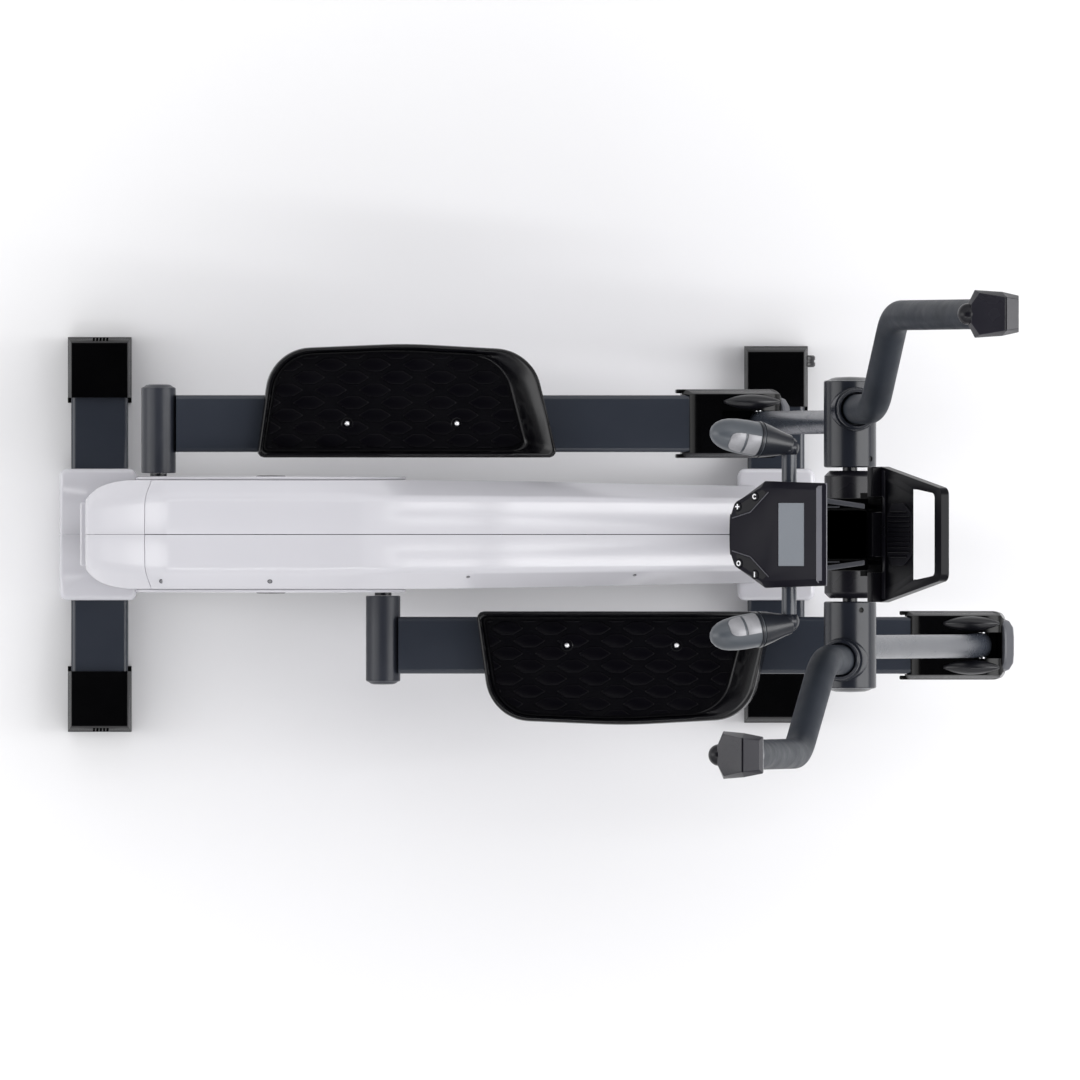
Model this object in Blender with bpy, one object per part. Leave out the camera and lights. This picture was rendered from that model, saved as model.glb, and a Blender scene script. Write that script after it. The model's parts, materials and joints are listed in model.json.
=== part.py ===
"""Elliptical cross trainer: a rear-drive machine with a magnetic brake, two pedal bars, two swing arms
with handles, a fixed pulse bar, a console and a tablet rest.

Metres. +X points forwards, from the crank to the console; +Y is the rider's left; +Z is up. The origin
is on the floor, in the middle of the machine's bounding box. Each moving group hangs from an empty that
stands on the group's joint axis.
"""
import math

import bmesh
import bpy
from mathutils import Matrix, Vector

MM = 0.001
GAP = 0.3 * MM               # clearance between neighbours that touch on the real machine
SIDES = {"left": 1.0, "right": -1.0}
FAR = 400 * MM               # how far a cutter reaches when it only has to clear the piece

# ---------------------------------------------------------------- driving dimensions
# Feet: two oval floor tubes with moulded end caps.
FOOT_WIDTH = 78 * MM
FOOT_HEIGHT = 40 * MM
FOOT_BOTTOM = 16 * MM
FOOT_TOP = FOOT_BOTTOM + FOOT_HEIGHT
REAR_FOOT_X = -598.6 * MM
REAR_FOOT_HALF = 270 * MM
FRONT_FOOT_X = 326.4 * MM
FRONT_FOOT_HALF = 257.6 * MM
CAP_LENGTH = 90 * MM
CAP_TOP = 62 * MM
CAP_WALL = 4.5 * MM
SADDLE_HALF = 90 * MM
SADDLE_TOP = 68 * MM
REAR_TUBE_HALF = 256 * MM
FRONT_TUBE_HALF = 222 * MM
ROLLER_RADIUS = 19 * MM
ROLLER_WIDTH = 16 * MM
ROLLER_X = FRONT_FOOT_X + 34.6 * MM
ROLLER_Y = 237 * MM
ROLLER_Z = 22 * MM
NOTCH_HALF = 11 * MM

# Frame spine and mast.
TUBE_WALL = 2.5 * MM
BEAM_HEIGHT = 50 * MM
BEAM_WIDTH = 50 * MM
BEAM_BOTTOM = FOOT_TOP + GAP
BEAM_TOP = BEAM_BOTTOM + BEAM_HEIGHT
MAST_DEPTH = 70 * MM
MAST_WIDTH = 50 * MM
MAST_WALL = 3 * MM

# Linkage: crank, pedal bars and swing arms.
CRANK_CENTRE = Vector((-361.8 * MM, 0, 280 * MM))
CRANK_RADIUS = 165 * MM
CRANK_ANGLE = math.radians(157.4)      # left pin, from +X towards +Z
PIVOT = Vector((426.4 * MM, 0, 901 * MM))
ARM_LENGTH = 640 * MM
BAR_LENGTH = 819.7 * MM
DISC_RADIUS = 184 * MM
DISC_INNER = 74.5 * MM
DISC_OUTER = 78.9 * MM
SLEEVE_INNER = 83.6 * MM
SLEEVE_OUTER = 204.7 * MM
SLEEVE_RADIUS = 23.5 * MM
BAR_CENTRE = 151 * MM
BAR_WIDTH = 77.6 * MM
BAR_HEIGHT = 40 * MM
ARM_TUBE_RADIUS = 16 * MM

# Casing.
CASING_HALF = 74 * MM
CASING_PLATEAU = 51 * MM
CASING_NOSE_HALF = 66.5 * MM
CASING_NOSE_PLATEAU = 48 * MM
CASING_BOTTOM = 70 * MM
CASING_WALL = 3 * MM
CASING_SEAM = 1.0 * MM
SHAFT_HOLE = 17 * MM

# Console and tablet rest.
CONSOLE_TILT = math.radians(40)
CONSOLE_REAR = Vector((258 * MM, 0, 1115 * MM))
CONSOLE_LENGTH = 158 * MM
CONSOLE_THICK = 28 * MM
REST_TILT = math.radians(60)
REST_HINGE = Vector((471 * MM, 0, 1127 * MM))
REST_LENGTH = 165 * MM
REST_THICK = 12 * MM
LUG_INNER = 30 * MM
LUG_OUTER = 51 * MM
LUG_RADIUS = 8 * MM
PULSE_BAR = Vector((344.2 * MM, 0, 1125 * MM))
PULSE_RADIUS = 10 * MM


# ---------------------------------------------------------------- materials
def finish(name, colour, roughness, metallic=0.0):
    """A Principled material of one colour."""
    made = bpy.data.materials.new(name)
    made.use_nodes = True
    shader = made.node_tree.nodes["Principled BSDF"]
    shader.inputs["Base Color"].default_value = (*colour, 1.0)
    shader.inputs["Roughness"].default_value = roughness
    shader.inputs["Metallic"].default_value = metallic
    return made


def make_finishes():
    return {
        "casing": finish("casing_shell", (0.68, 0.68, 0.71), 0.32),
        "frame": finish("frame_paint", (0.028, 0.032, 0.042), 0.38),
        "cap": finish("cap_plastic", (0.010, 0.010, 0.012), 0.42),
        "pedal": finish("pedal_plastic", (0.014, 0.014, 0.016), 0.48),
        "foam": finish("grip_foam", (0.030, 0.032, 0.038), 0.62),
        "arm": finish("arm_paint", (0.20, 0.21, 0.23), 0.34, 0.4),
        "steel": finish("bright_steel", (0.55, 0.55, 0.57), 0.25, 1.0),
        "console": finish("console_plastic", (0.020, 0.019, 0.026), 0.35),
        "lens": finish("display_lens", (0.21, 0.23, 0.26), 0.15),
        "plate": finish("sensor_plate", (0.55, 0.55, 0.56), 0.3, 0.9),
        "iron": finish("flywheel_iron", (0.12, 0.12, 0.13), 0.55, 0.8),
        "rubber": finish("belt_rubber", (0.02, 0.02, 0.02), 0.7),
        "key": finish("key_plastic", (0.03, 0.03, 0.04), 0.3),
    }


# ---------------------------------------------------------------- building helpers
def empty(name, place, tilt=0.0):
    """A joint marker: its children are modelled about the joint, and tilt turns them about Y."""
    marker = bpy.data.objects.new(name, None)
    marker.location = place
    marker.rotation_euler = (0, tilt, 0)
    bpy.context.collection.objects.link(marker)
    return marker


def node(name, body, look=None, parent=None):
    """Turn a bmesh into a named object; round edges are shaded smooth."""
    bmesh.ops.recalc_face_normals(body, faces=body.faces)
    mesh = bpy.data.meshes.new(name)
    body.to_mesh(mesh)
    body.free()
    mesh.shade_smooth()
    mesh.set_sharp_from_angle(angle=math.radians(32))
    made = bpy.data.objects.new(name, mesh)
    bpy.context.collection.objects.link(made)
    made.parent = parent
    if look:
        made.data.materials.append(look)
    return made


def combine(target, body, operation):
    """Add or cut a helper solid, which stays in the scene as a hidden wire guide."""
    helper = node(f"guide_{target.name}_{len(target.modifiers)}", body, None, target.parent)
    helper.hide_render = True
    helper.display_type = "WIRE"
    step = target.modifiers.new(helper.name, "BOOLEAN")
    step.operation = operation
    step.solver = "EXACT"
    step.object = helper
    return target


def cut(target, body):
    return combine(target, body, "DIFFERENCE")


def add(target, body):
    return combine(target, body, "UNION")


def box(low, high, bevel=0.0, steps=1):
    """A box between two corners, with every edge bevelled."""
    body = bmesh.new()
    bmesh.ops.create_cube(body, size=1.0)
    low, high = Vector(low), Vector(high)
    for vert in body.verts:
        vert.co = Vector((low[i] if vert.co[i] < 0 else high[i]) for i in range(3))
    if bevel:
        bmesh.ops.bevel(body, geom=body.edges[:], offset=bevel, segments=steps, profile=0.5, affect="EDGES")
    return body


def prism(outline, low, high, along="Z"):
    """Extrude a closed outline. Along Z the outline is (x, y); along Y it is (x, z)."""
    def place(point, depth):
        return Vector((point[0], point[1], depth)) if along == "Z" else Vector((point[0], depth, point[1]))
    body = bmesh.new()
    bottom = [body.verts.new(place(point, low)) for point in outline]
    top = [body.verts.new(place(point, high)) for point in outline]
    body.faces.new(bottom)
    body.faces.new(top)
    for i in range(len(outline)):
        j = (i + 1) % len(outline)
        body.faces.new((bottom[i], bottom[j], top[j], top[i]))
    return body


def rounded(corners, steps=5):
    """Round each corner of a polygon: corners are (u, v, radius)."""
    outline = []
    count = len(corners)
    for i, (u, v, radius) in enumerate(corners):
        here = Vector((u, v))
        before = (Vector(corners[i - 1][:2]) - here).normalized()
        after = (Vector(corners[(i + 1) % count][:2]) - here).normalized()
        if radius <= 0:
            outline.append(here)
            continue
        half = before.angle(after) / 2
        reach = radius / math.tan(half)
        centre = here + (before + after).normalized() * radius / math.sin(half)
        start = here + before * reach - centre
        end = here + after * reach - centre
        turn = start.angle_signed(end)
        for k in range(steps + 1):
            outline.append(centre + Matrix.Rotation(-turn * k / steps, 2) @ start)
    return outline


def turned(profile, segments=32, centre=(0, 0, 0), along="Y"):
    """Spin a profile of (distance along the axis, radius) about an axis through centre."""
    body = bmesh.new()
    rings = []
    for depth, radius in profile:
        ring = []
        for k in range(segments if radius > 0 else 1):
            angle = math.tau * k / segments
            across = (radius * math.cos(angle), radius * math.sin(angle))
            spot = (across[0], depth, across[1]) if along == "Y" else (across[0], across[1], depth)
            ring.append(body.verts.new(Vector(spot) + Vector(centre)))
        rings.append(ring)
    for first, second in zip(rings, rings[1:]):
        for k in range(segments):
            j = (k + 1) % segments
            near = [first[k % len(first)], first[j % len(first)]]
            ahead = [second[j % len(second)], second[k % len(second)]]
            body.faces.new(list(dict.fromkeys(near + ahead)))
    for ring in (rings[0], rings[-1]):
        if len(ring) > 2:
            body.faces.new(ring)
    return body


def cylinder(radius, low, high, centre=(0, 0, 0), segments=32, along="Y"):
    return turned([(low, radius), (high, radius)], segments, centre, along)


def fillet_path(corners, steps=6):
    """A 3-D path with round corners: corners are (point, radius)."""
    path = []
    for i, (point, radius) in enumerate(corners):
        here = Vector(point)
        if radius <= 0:
            path.append(here)
            continue
        before = (Vector(corners[i - 1][0]) - here).normalized()
        after = (Vector(corners[i + 1][0]) - here).normalized()
        half = before.angle(after) / 2
        reach = radius / math.tan(half)
        centre = here + (before + after).normalized() * radius / math.sin(half)
        start = here + before * reach - centre
        end = here + after * reach - centre
        axis = start.cross(end).normalized()
        turn = start.angle(end)
        for k in range(steps + 1):
            path.append(centre + Matrix.Rotation(turn * k / steps, 3, axis) @ start)
    return path


def swept(path, radii, segments=20):
    """A round bar along a path, with flat ends; radii gives one radius for each point."""
    body = bmesh.new()
    rings = []
    tangent = (path[1] - path[0]).normalized()
    across = tangent.orthogonal().normalized()
    for i, point in enumerate(path):
        ahead = path[min(i + 1, len(path) - 1)]
        behind = path[max(i - 1, 0)]
        turned_to = (ahead - behind).normalized()
        across = tangent.rotation_difference(turned_to) @ across
        tangent = turned_to
        up = tangent.cross(across)
        ring = []
        for k in range(segments):
            angle = math.tau * k / segments
            ring.append(body.verts.new(point + radii[i] * (across * math.cos(angle) + up * math.sin(angle))))
        rings.append(ring)
    for first, second in zip(rings, rings[1:]):
        for k in range(segments):
            j = (k + 1) % segments
            body.faces.new((first[k], first[j], second[j], second[k]))
    body.faces.new(rings[0])
    body.faces.new(rings[-1])
    return body


def hull(points):
    """The convex solid around a set of points."""
    body = bmesh.new()
    for point in points:
        body.verts.new(point)
    made = bmesh.ops.convex_hull(body, input=body.verts)
    unused = made["geom_interior"] + made["geom_unused"]
    spare = {item for item in unused if isinstance(item, bmesh.types.BMVert)}
    bmesh.ops.delete(body, geom=list(spare), context="VERTS")
    return body


def loft(rings):
    """Skin a row of closed rings that have the same number of points, and close both ends."""
    body = bmesh.new()
    made = [[body.verts.new(point) for point in ring] for ring in rings]
    for first, second in zip(made, made[1:]):
        for k in range(len(first)):
            j = (k + 1) % len(first)
            body.faces.new((first[k], first[j], second[j], second[k]))
    body.faces.new(made[0])
    body.faces.new(made[-1])
    return body


def ramp(value, stops):
    """Read a value from a row of (place, value) stops, with a straight line between stops."""
    for (start, low), (end, high) in zip(stops, stops[1:]):
        if value <= end:
            share = max(0.0, (value - start) / (end - start))
            return low + (high - low) * share
    return stops[-1][1]


# ---------------------------------------------------------------- linkage geometry
def crank_pin(side):
    """Centre of a crank pin in the XZ plane; the right pin is opposite the left one."""
    angle = CRANK_ANGLE if side > 0 else CRANK_ANGLE + math.pi
    return CRANK_CENTRE + CRANK_RADIUS * Vector((math.cos(angle), 0, math.sin(angle)))


def lower_joint(side):
    """Where a pedal bar of fixed length meets a swing arm of fixed length: two circles cross."""
    pin = crank_pin(side)
    reach = PIVOT - pin
    distance = reach.length
    along = (distance ** 2 + BAR_LENGTH ** 2 - ARM_LENGTH ** 2) / (2 * distance)
    rise = math.sqrt(BAR_LENGTH ** 2 - along ** 2)
    forward = reach.normalized()
    down = Vector((forward.z, 0, -forward.x))
    return pin + forward * along + down * rise


def bar_tilt(side):
    """Turn about Y that lays a bar's own -X axis on the line from its joint to its crank pin."""
    line = crank_pin(side) - lower_joint(side)
    return math.atan2(line.z, -line.x)


def arm_tilt(side):
    """Turn about Y that stands an arm's own +Z axis on the line from its joint to the pivot."""
    line = PIVOT - lower_joint(side)
    return math.atan2(line.x, line.z)


# ---------------------------------------------------------------- feet
def foot_outline(centre, grow=0.0):
    """The flat tube's section in X and Z."""
    half = FOOT_WIDTH / 2 + grow
    low, high = FOOT_BOTTOM - grow, FOOT_TOP + grow
    round_edge = 8 * MM
    corners = [(centre - half, low), (centre + half, low), (centre + half, high), (centre - half, high)]
    return rounded([(x, z, round_edge) for x, z in corners], 4)


def make_foot(name, centre, tube_half, looks):
    tube = node(f"{name}_foot_tube", prism(foot_outline(centre), -tube_half, tube_half, "Y"), looks["frame"])
    return cut(tube, prism(foot_outline(centre, -TUBE_WALL), -tube_half - MM, tube_half + MM, "Y"))


def make_cap(name, centre, half, tube_half, side, looks):
    """A moulded shoe over the end of a floor tube; its flat sole is what stands on the floor."""
    half_width = FOOT_WIDTH / 2 + CAP_WALL
    chamfer = 5 * MM
    section = [(centre - half_width, 0), (centre + half_width, 0), (centre + half_width, CAP_TOP - 3 * chamfer),
               (centre + half_width - chamfer, CAP_TOP), (centre - half_width + chamfer, CAP_TOP),
               (centre - half_width, CAP_TOP - 3 * chamfer)]
    inner, outer = sorted((side * (half - CAP_LENGTH), side * half))
    label = "left" if side > 0 else "right"
    cap = node(f"{name}_foot_cap_{label}", prism(section, inner, outer, "Y"), looks["cap"])
    pocket = sorted((side * (half - CAP_LENGTH - 5 * MM), side * (tube_half + GAP)))
    cut(cap, prism(foot_outline(centre, GAP), pocket[0], pocket[1], "Y"))
    return cap


def notch_cap(cap, side):
    """The slot in the front of a front cap that the transport roller sits in."""
    low, high = sorted((side * (ROLLER_Y - NOTCH_HALF), side * (ROLLER_Y + NOTCH_HALF)))
    depth = ROLLER_X - ROLLER_RADIUS - MM
    cut(cap, box((depth, low, -5 * MM), (FRONT_FOOT_X + 80 * MM, high, CAP_TOP + 5 * MM)))


def make_roller(side, looks):
    """A transport wheel in the notch of a front cap; it meets the floor only when the machine is tipped."""
    half, stub, stub_radius = ROLLER_WIDTH / 2, NOTCH_HALF - GAP, 3 * MM
    edge = 3 * MM
    label = "left" if side > 0 else "right"
    marker = empty(f"{label}_roller_axis", (ROLLER_X, side * ROLLER_Y, ROLLER_Z))
    profile = [(-stub, stub_radius), (-half, stub_radius), (-half, ROLLER_RADIUS - edge),
               (-half + edge, ROLLER_RADIUS), (half - edge, ROLLER_RADIUS), (half, ROLLER_RADIUS - edge),
               (half, stub_radius), (stub, stub_radius)]
    return node(f"transport_roller_{label}", turned(profile, 24), looks["cap"], marker)


def make_saddle(name, foot_x, shift, looks):
    """The pale cover over the middle of a floor tube, notched where the frame comes through."""
    half = 52.8 * MM
    centre = foot_x + shift
    section = rounded([(centre - half, 6 * MM, 3 * MM), (centre + half, 6 * MM, 3 * MM),
                       (centre + half, SADDLE_TOP, 14 * MM), (centre - half, SADDLE_TOP, 14 * MM)], 4)
    saddle = node(f"{name}_saddle_cover", prism(section, -SADDLE_HALF, SADDLE_HALF, "Y"), looks["casing"])
    cut(saddle, prism(foot_outline(foot_x, GAP), -SADDLE_HALF - MM, SADDLE_HALF + MM, "Y"))
    return saddle


# ---------------------------------------------------------------- frame
def mast_line(height):
    """X of the mast's centre at a height: it leans forwards from the front foot to the pivot head."""
    foot, head = FOOT_TOP, PIVOT.z - 40 * MM
    return 338 * MM + (PIVOT.x - 338 * MM) * (height - foot) / (head - foot)


def mast_section(height, grow=0.0):
    centre = mast_line(height)
    half_x, half_y = MAST_DEPTH / 2 + grow, MAST_WIDTH / 2 + grow
    edge = max(10 * MM + grow, MM)
    plan = rounded([(centre - half_x, -half_y, edge), (centre + half_x, -half_y, edge),
                    (centre + half_x, half_y, edge), (centre - half_x, half_y, edge)], 3)
    return [Vector((point.x, point.y, height)) for point in plan]


def make_frame(looks):
    beam_end = mast_line(BEAM_BOTTOM) - MAST_DEPTH / 2 - GAP
    beam_start = REAR_FOOT_X - 8 * MM
    half = BEAM_WIDTH / 2
    tube = box((beam_start, -half, BEAM_BOTTOM), (beam_end, half, BEAM_TOP), 4 * MM)
    beam = node("main_beam", tube, looks["frame"])
    bore = half - TUBE_WALL
    bore_low, bore_high = BEAM_BOTTOM + TUBE_WALL, BEAM_TOP - TUBE_WALL
    cut(beam, box((beam_start - MM, -bore, bore_low), (beam_end + MM, bore, bore_high)))
    low, high = BEAM_BOTTOM, PIVOT.z - 40 * MM
    mast = node("mast", loft([mast_section(low), mast_section(high)]), looks["frame"])
    cut(mast, loft([mast_section(low + 6 * MM, -MAST_WALL), mast_section(high + 5 * MM, -MAST_WALL)]))


def notch_saddles(rear, front):
    """Room for the beam over the rear foot, and for beam and mast over the front foot."""
    half = BEAM_WIDTH / 2 + GAP
    low, high = FOOT_TOP - MM, SADDLE_TOP + 20 * MM
    cut(rear, box((REAR_FOOT_X - 9 * MM, -half, low), (REAR_FOOT_X + 80 * MM, half, high)))
    mast_front = mast_line(SADDLE_TOP) + MAST_DEPTH / 2 + 2 * GAP
    cut(front, box((FRONT_FOOT_X - 80 * MM, -half, low), (mast_front, half, high)))


# ---------------------------------------------------------------- casing
CASING_TAIL = -613 * MM
CASING_NOSE = 297 * MM
TAIL_STOPS = [-613, -611, -606, -600, -588, -572, -552, -520, -501]
BODY_STOPS = [-440, -365, -280, -229, -150, -60, 40, 140, 230, 292, 297]


def casing_half(x):
    stops = [(-613, 50), (-606, 56), (-600, 60.5), (-588, 68), (-572, 72), (-552, 74), (-190, 74), (297, 66)]
    return ramp(x / MM, stops) * MM


def casing_plateau(x):
    stops = [(-613, 38), (-600, 43), (-552, 49), (-501, 51), (-190, 51), (297, 48)]
    return ramp(x / MM, stops) * MM


def casing_top(x):
    """The casing's top line: the tail ramps up, a level stretch over the crank, then a long slope down."""
    if x < -505 * MM:
        return ramp(x / MM, [(-613, 392), (-611, 397), (-606, 403), (-520, 476), (-505, 484)]) * MM
    if x < -229 * MM:
        return ramp(x / MM, [(-505, 484), (-480, 487), (-365, 489), (-229, 483)]) * MM
    share = (x + 229 * MM) / (CASING_NOSE + 229 * MM)
    return (483 - 190 * share - 83 * share ** 2) * MM


def casing_ring(x, inset=0.0, open_bottom=False):
    """One cross-section in Y and Z: straight sides, a falling shoulder each side and a nearly flat top."""
    half = casing_half(x) - inset
    flat = casing_plateau(x) - inset * 0.4
    top = casing_top(x) - inset
    drop = min(46 * MM, (top - CASING_BOTTOM) * 0.35)
    bottom = CASING_BOTTOM - (20 * MM if open_bottom else 0)
    right = [(half, bottom), (half, (bottom + top - drop) / 2)]
    for k in range(6):
        angle = math.pi / 2 * k / 5
        right.append((flat + (half - flat) * math.cos(angle), top - drop + drop * math.sin(angle)))
    right.append((flat * 0.5, top + 1.5 * MM))
    left = [(-y, z) for y, z in reversed(right)]
    return [Vector((x, y, z)) for y, z in right + [(0, top + 2 * MM)] + left]


def casing_solid(inset=0.0):
    stations = [stop * MM for stop in TAIL_STOPS + BODY_STOPS]
    if inset:
        first, last = CASING_TAIL + inset, CASING_NOSE - inset
        stations = [first] + [x for x in stations if first < x < last] + [last]
    return loft([casing_ring(x, inset, bool(inset)) for x in stations])


def behind_seam(offset):
    """The space behind the tail seam, a plane that leans forwards as it goes down."""
    top_x = -539 * MM + offset
    lean = 0.65
    rise = 480 * MM
    above, below = rise + 200 * MM, -100 * MM
    outline = [(top_x - FAR, below), (top_x + lean * (rise - below), below),
               (top_x + lean * (rise - above), above), (top_x - FAR, above)]
    return prism(outline, -FAR, FAR, "Y")


def make_casing(looks):
    seam = CASING_SEAM / 2
    for label, side in SIDES.items():
        shell = node(f"casing_{label}", casing_solid(), looks["casing"])
        cut(shell, casing_solid(CASING_WALL))
        other = sorted((side * seam, -side * FAR))
        cut(shell, box((-2 * FAR, other[0], -FAR), (2 * FAR, other[1], 2 * FAR)))
        cut(shell, behind_seam(seam))
        cut(shell, cylinder(SHAFT_HOLE, -FAR, FAR, CRANK_CENTRE, 24))
        room = BEAM_WIDTH / 2 + GAP
        cut(shell, box((CASING_NOSE - 40 * MM, -room, 0), (CASING_NOSE + 20 * MM, room, BEAM_TOP + GAP)))
    tail = node("tail_cover", casing_solid(), looks["casing"])
    cut(tail, casing_solid(CASING_WALL))
    combine(tail, behind_seam(-seam), "INTERSECT")
    lip_half, lip_top = 43.5 * MM, 330 * MM
    add(tail, box((CASING_TAIL - 8 * MM, -lip_half, 84 * MM), (CASING_TAIL + MM, lip_half, lip_top), 3 * MM))
    cut(tail, cylinder(SHAFT_HOLE, -FAR, FAR, CRANK_CENTRE, 24))


# ---------------------------------------------------------------- drive inside the casing
SHAFT_RADIUS = 12.5 * MM
PULLEY_RADIUS = 130 * MM
WHEEL_CENTRE = Vector((-20 * MM, 0, 245 * MM))
WHEEL_RADIUS = 115 * MM
SMALL_PULLEY_RADIUS = 15 * MM
BELT_LOW, BELT_HIGH = 22 * MM, 36 * MM
BELT_THICK = 2 * MM


def make_crank(looks):
    marker = empty("crank_axis", CRANK_CENTRE)
    shaft_end = DISC_INNER - GAP
    node("crank_shaft", cylinder(SHAFT_RADIUS, -shaft_end, shaft_end, segments=24), looks["steel"], marker)
    hub = SHAFT_RADIUS + GAP
    wide = PULLEY_RADIUS
    rim = [(BELT_LOW - 3 * MM, hub), (BELT_LOW - 3 * MM, wide + 3 * MM), (BELT_LOW - MM, wide + 3 * MM),
           (BELT_LOW - MM, wide), (BELT_HIGH + MM, wide), (BELT_HIGH + MM, wide + 3 * MM),
           (BELT_HIGH + 3 * MM, wide + 3 * MM), (BELT_HIGH + 3 * MM, hub), (BELT_LOW - 3 * MM, hub)]
    node("drive_pulley", ring_solid(rim, 40), looks["key"], marker)
    for label, side in SIDES.items():
        edge = 1.5 * MM
        profile = [(side * DISC_INNER, DISC_RADIUS), (side * (DISC_OUTER - edge), DISC_RADIUS),
                   (side * DISC_OUTER, DISC_RADIUS - edge)]
        node(f"crank_disc_{label}", turned(profile, 64), looks["casing"], marker)
        pin = crank_pin(side) - CRANK_CENTRE
        inner, outer = sorted((side * (DISC_OUTER + GAP), side * (SLEEVE_INNER - GAP)))
        node(f"crank_pin_{label}", cylinder(11.5 * MM, inner, outer, pin, 24), looks["cap"], marker)


def ring_solid(profile, segments, centre=(0, 0, 0)):
    """Spin a closed section about Y: the last point repeats the first, so the solid has a bore."""
    body = turned(profile, segments, centre)
    lids = [face for face in body.faces if len(face.verts) > 4]
    bmesh.ops.delete(body, geom=lids, context="FACES_ONLY")
    bmesh.ops.remove_doubles(body, verts=body.verts, dist=0.01 * MM)
    return body


def make_flywheel(looks):
    marker = empty("flywheel_axis", WHEEL_CENTRE)
    bore = 8.5 * MM
    small = SMALL_PULLEY_RADIUS
    profile = [(-30 * MM, bore), (-30 * MM, 30 * MM), (-22 * MM, 34 * MM), (-22 * MM, 95 * MM),
               (-30 * MM, 99 * MM), (-30 * MM, WHEEL_RADIUS), (-4 * MM, WHEEL_RADIUS), (-4 * MM, 99 * MM),
               (-12 * MM, 95 * MM), (-12 * MM, 34 * MM), (-4 * MM, 30 * MM), (20 * MM, 22 * MM),
               (20 * MM, small), (38 * MM, small), (38 * MM, bore), (-30 * MM, bore)]
    node("flywheel", ring_solid(profile, 48), looks["iron"], marker)


def make_drive_supports(looks):
    """The crank's bearing housing, the flywheel's axle bracket and the brake magnet's carrier."""
    centre = CRANK_CENTRE
    housing = node("crank_bearing_housing", cylinder(25 * MM, -60 * MM, 14 * MM, centre, 28), looks["frame"])
    add(housing, box((centre.x - 20 * MM, -22 * MM, BEAM_TOP + GAP), (centre.x + 20 * MM, 12 * MM, centre.z),
                     2 * MM))
    cut(housing, cylinder(SHAFT_RADIUS + GAP, -FAR, FAR, centre, 24))

    wheel = WHEEL_CENTRE
    base = BEAM_TOP + GAP
    plate, inner_y = 5 * MM, 46 * MM
    bracket = node("flywheel_axle", cylinder(8 * MM, -inner_y - MM, inner_y + MM, wheel, 24), looks["frame"])
    for side in (-1, 1):
        low, high = sorted((side * inner_y, side * (inner_y + plate)))
        add(bracket, box((wheel.x - 18 * MM, low, base), (wheel.x + 18 * MM, high, wheel.z + 16 * MM)))
    low_edge, foot = inner_y + plate / 2, base + 0.1 * MM
    add(bracket, box((wheel.x - 17 * MM, -low_edge, foot), (wheel.x + 17 * MM, low_edge, base + plate)))

    gap = 3 * MM
    near, far = WHEEL_RADIUS + gap, WHEEL_RADIUS + gap + 8 * MM
    angles = [math.radians(-15 + 60 * k / 10) for k in range(11)]
    outer = [(wheel.x + far * math.cos(a), wheel.z + far * math.sin(a)) for a in angles]
    inner = [(wheel.x + near * math.cos(a), wheel.z + near * math.sin(a)) for a in reversed(angles)]
    carrier = node("brake_magnet_carrier", prism(outer + inner, -38 * MM, 4 * MM, "Y"), looks["frame"])
    leg_x = wheel.x + near + MM
    add(carrier, box((leg_x, -20 * MM, base), (leg_x + 10 * MM, -2 * MM, wheel.z)))


def make_belt(looks):
    """The belt's open loop: two arcs round the pulleys and the two straight runs between them."""
    line = WHEEL_CENTRE - CRANK_CENTRE
    heading = math.atan2(line.z, line.x)
    slack = 1.2 * MM

    def loop(extra):
        large, small = PULLEY_RADIUS + slack + extra, SMALL_PULLEY_RADIUS + slack + extra
        lean = math.acos((large - small) / line.length)
        points = []
        for k in range(25):
            angle = heading + lean + (math.tau - 2 * lean) * k / 24
            points.append((CRANK_CENTRE.x + large * math.cos(angle), CRANK_CENTRE.z + large * math.sin(angle)))
        for k in range(9):
            angle = heading - lean + 2 * lean * k / 8
            points.append((WHEEL_CENTRE.x + small * math.cos(angle), WHEEL_CENTRE.z + small * math.sin(angle)))
        return points

    belt = bmesh.new()
    rings = []
    for extra, depth in ((0, BELT_LOW), (BELT_THICK, BELT_LOW), (BELT_THICK, BELT_HIGH), (0, BELT_HIGH)):
        rings.append([belt.verts.new((x, depth, z)) for x, z in loop(extra)])
    for i, ring in enumerate(rings):
        other = rings[(i + 1) % 4]
        for k in range(len(ring)):
            j = (k + 1) % len(ring)
            belt.faces.new((ring[k], ring[j], other[j], other[k]))
    node("drive_belt", belt, looks["rubber"])


# ---------------------------------------------------------------- pedal bars
BRACKET_REAR = -113 * MM          # from the joint, along the bar
BRACKET_FRONT = 44 * MM
BRACKET_HALF = 46.8 * MM
JOINT_PIN_RADIUS = 6 * MM
PEDAL_REAR = -690 * MM
PEDAL_LENGTH = 408 * MM
PEDAL_INNER = 104.6 * MM
PEDAL_WIDTH = 154 * MM
PEDAL_BASE = 12 * MM
PEDAL_RIM = 26 * MM
TOE_HEIGHT = 66 * MM


def pedal_outline(side, inset=0.0, front_inset=0.0):
    """Plan of a pedal: straight inner side, gently crowned outer side, both ends swept inwards."""
    rear, front = PEDAL_REAR + inset, PEDAL_REAR + PEDAL_LENGTH - inset - front_inset
    inner, width = PEDAL_INNER + inset, PEDAL_WIDTH - 2 * inset
    corners = [(rear, inner, 8 * MM), (front, inner, 8 * MM),
               (front - 0.082 * PEDAL_LENGTH, inner + 0.95 * width, 60 * MM),
               ((rear + front) / 2, inner + 1.01 * width, 700 * MM),
               (rear + 0.05 * PEDAL_LENGTH, inner + 0.96 * width, 62 * MM)]
    outline = rounded(corners, 5)
    return [Vector((point.x, side * point.y)) for point in outline]


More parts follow.
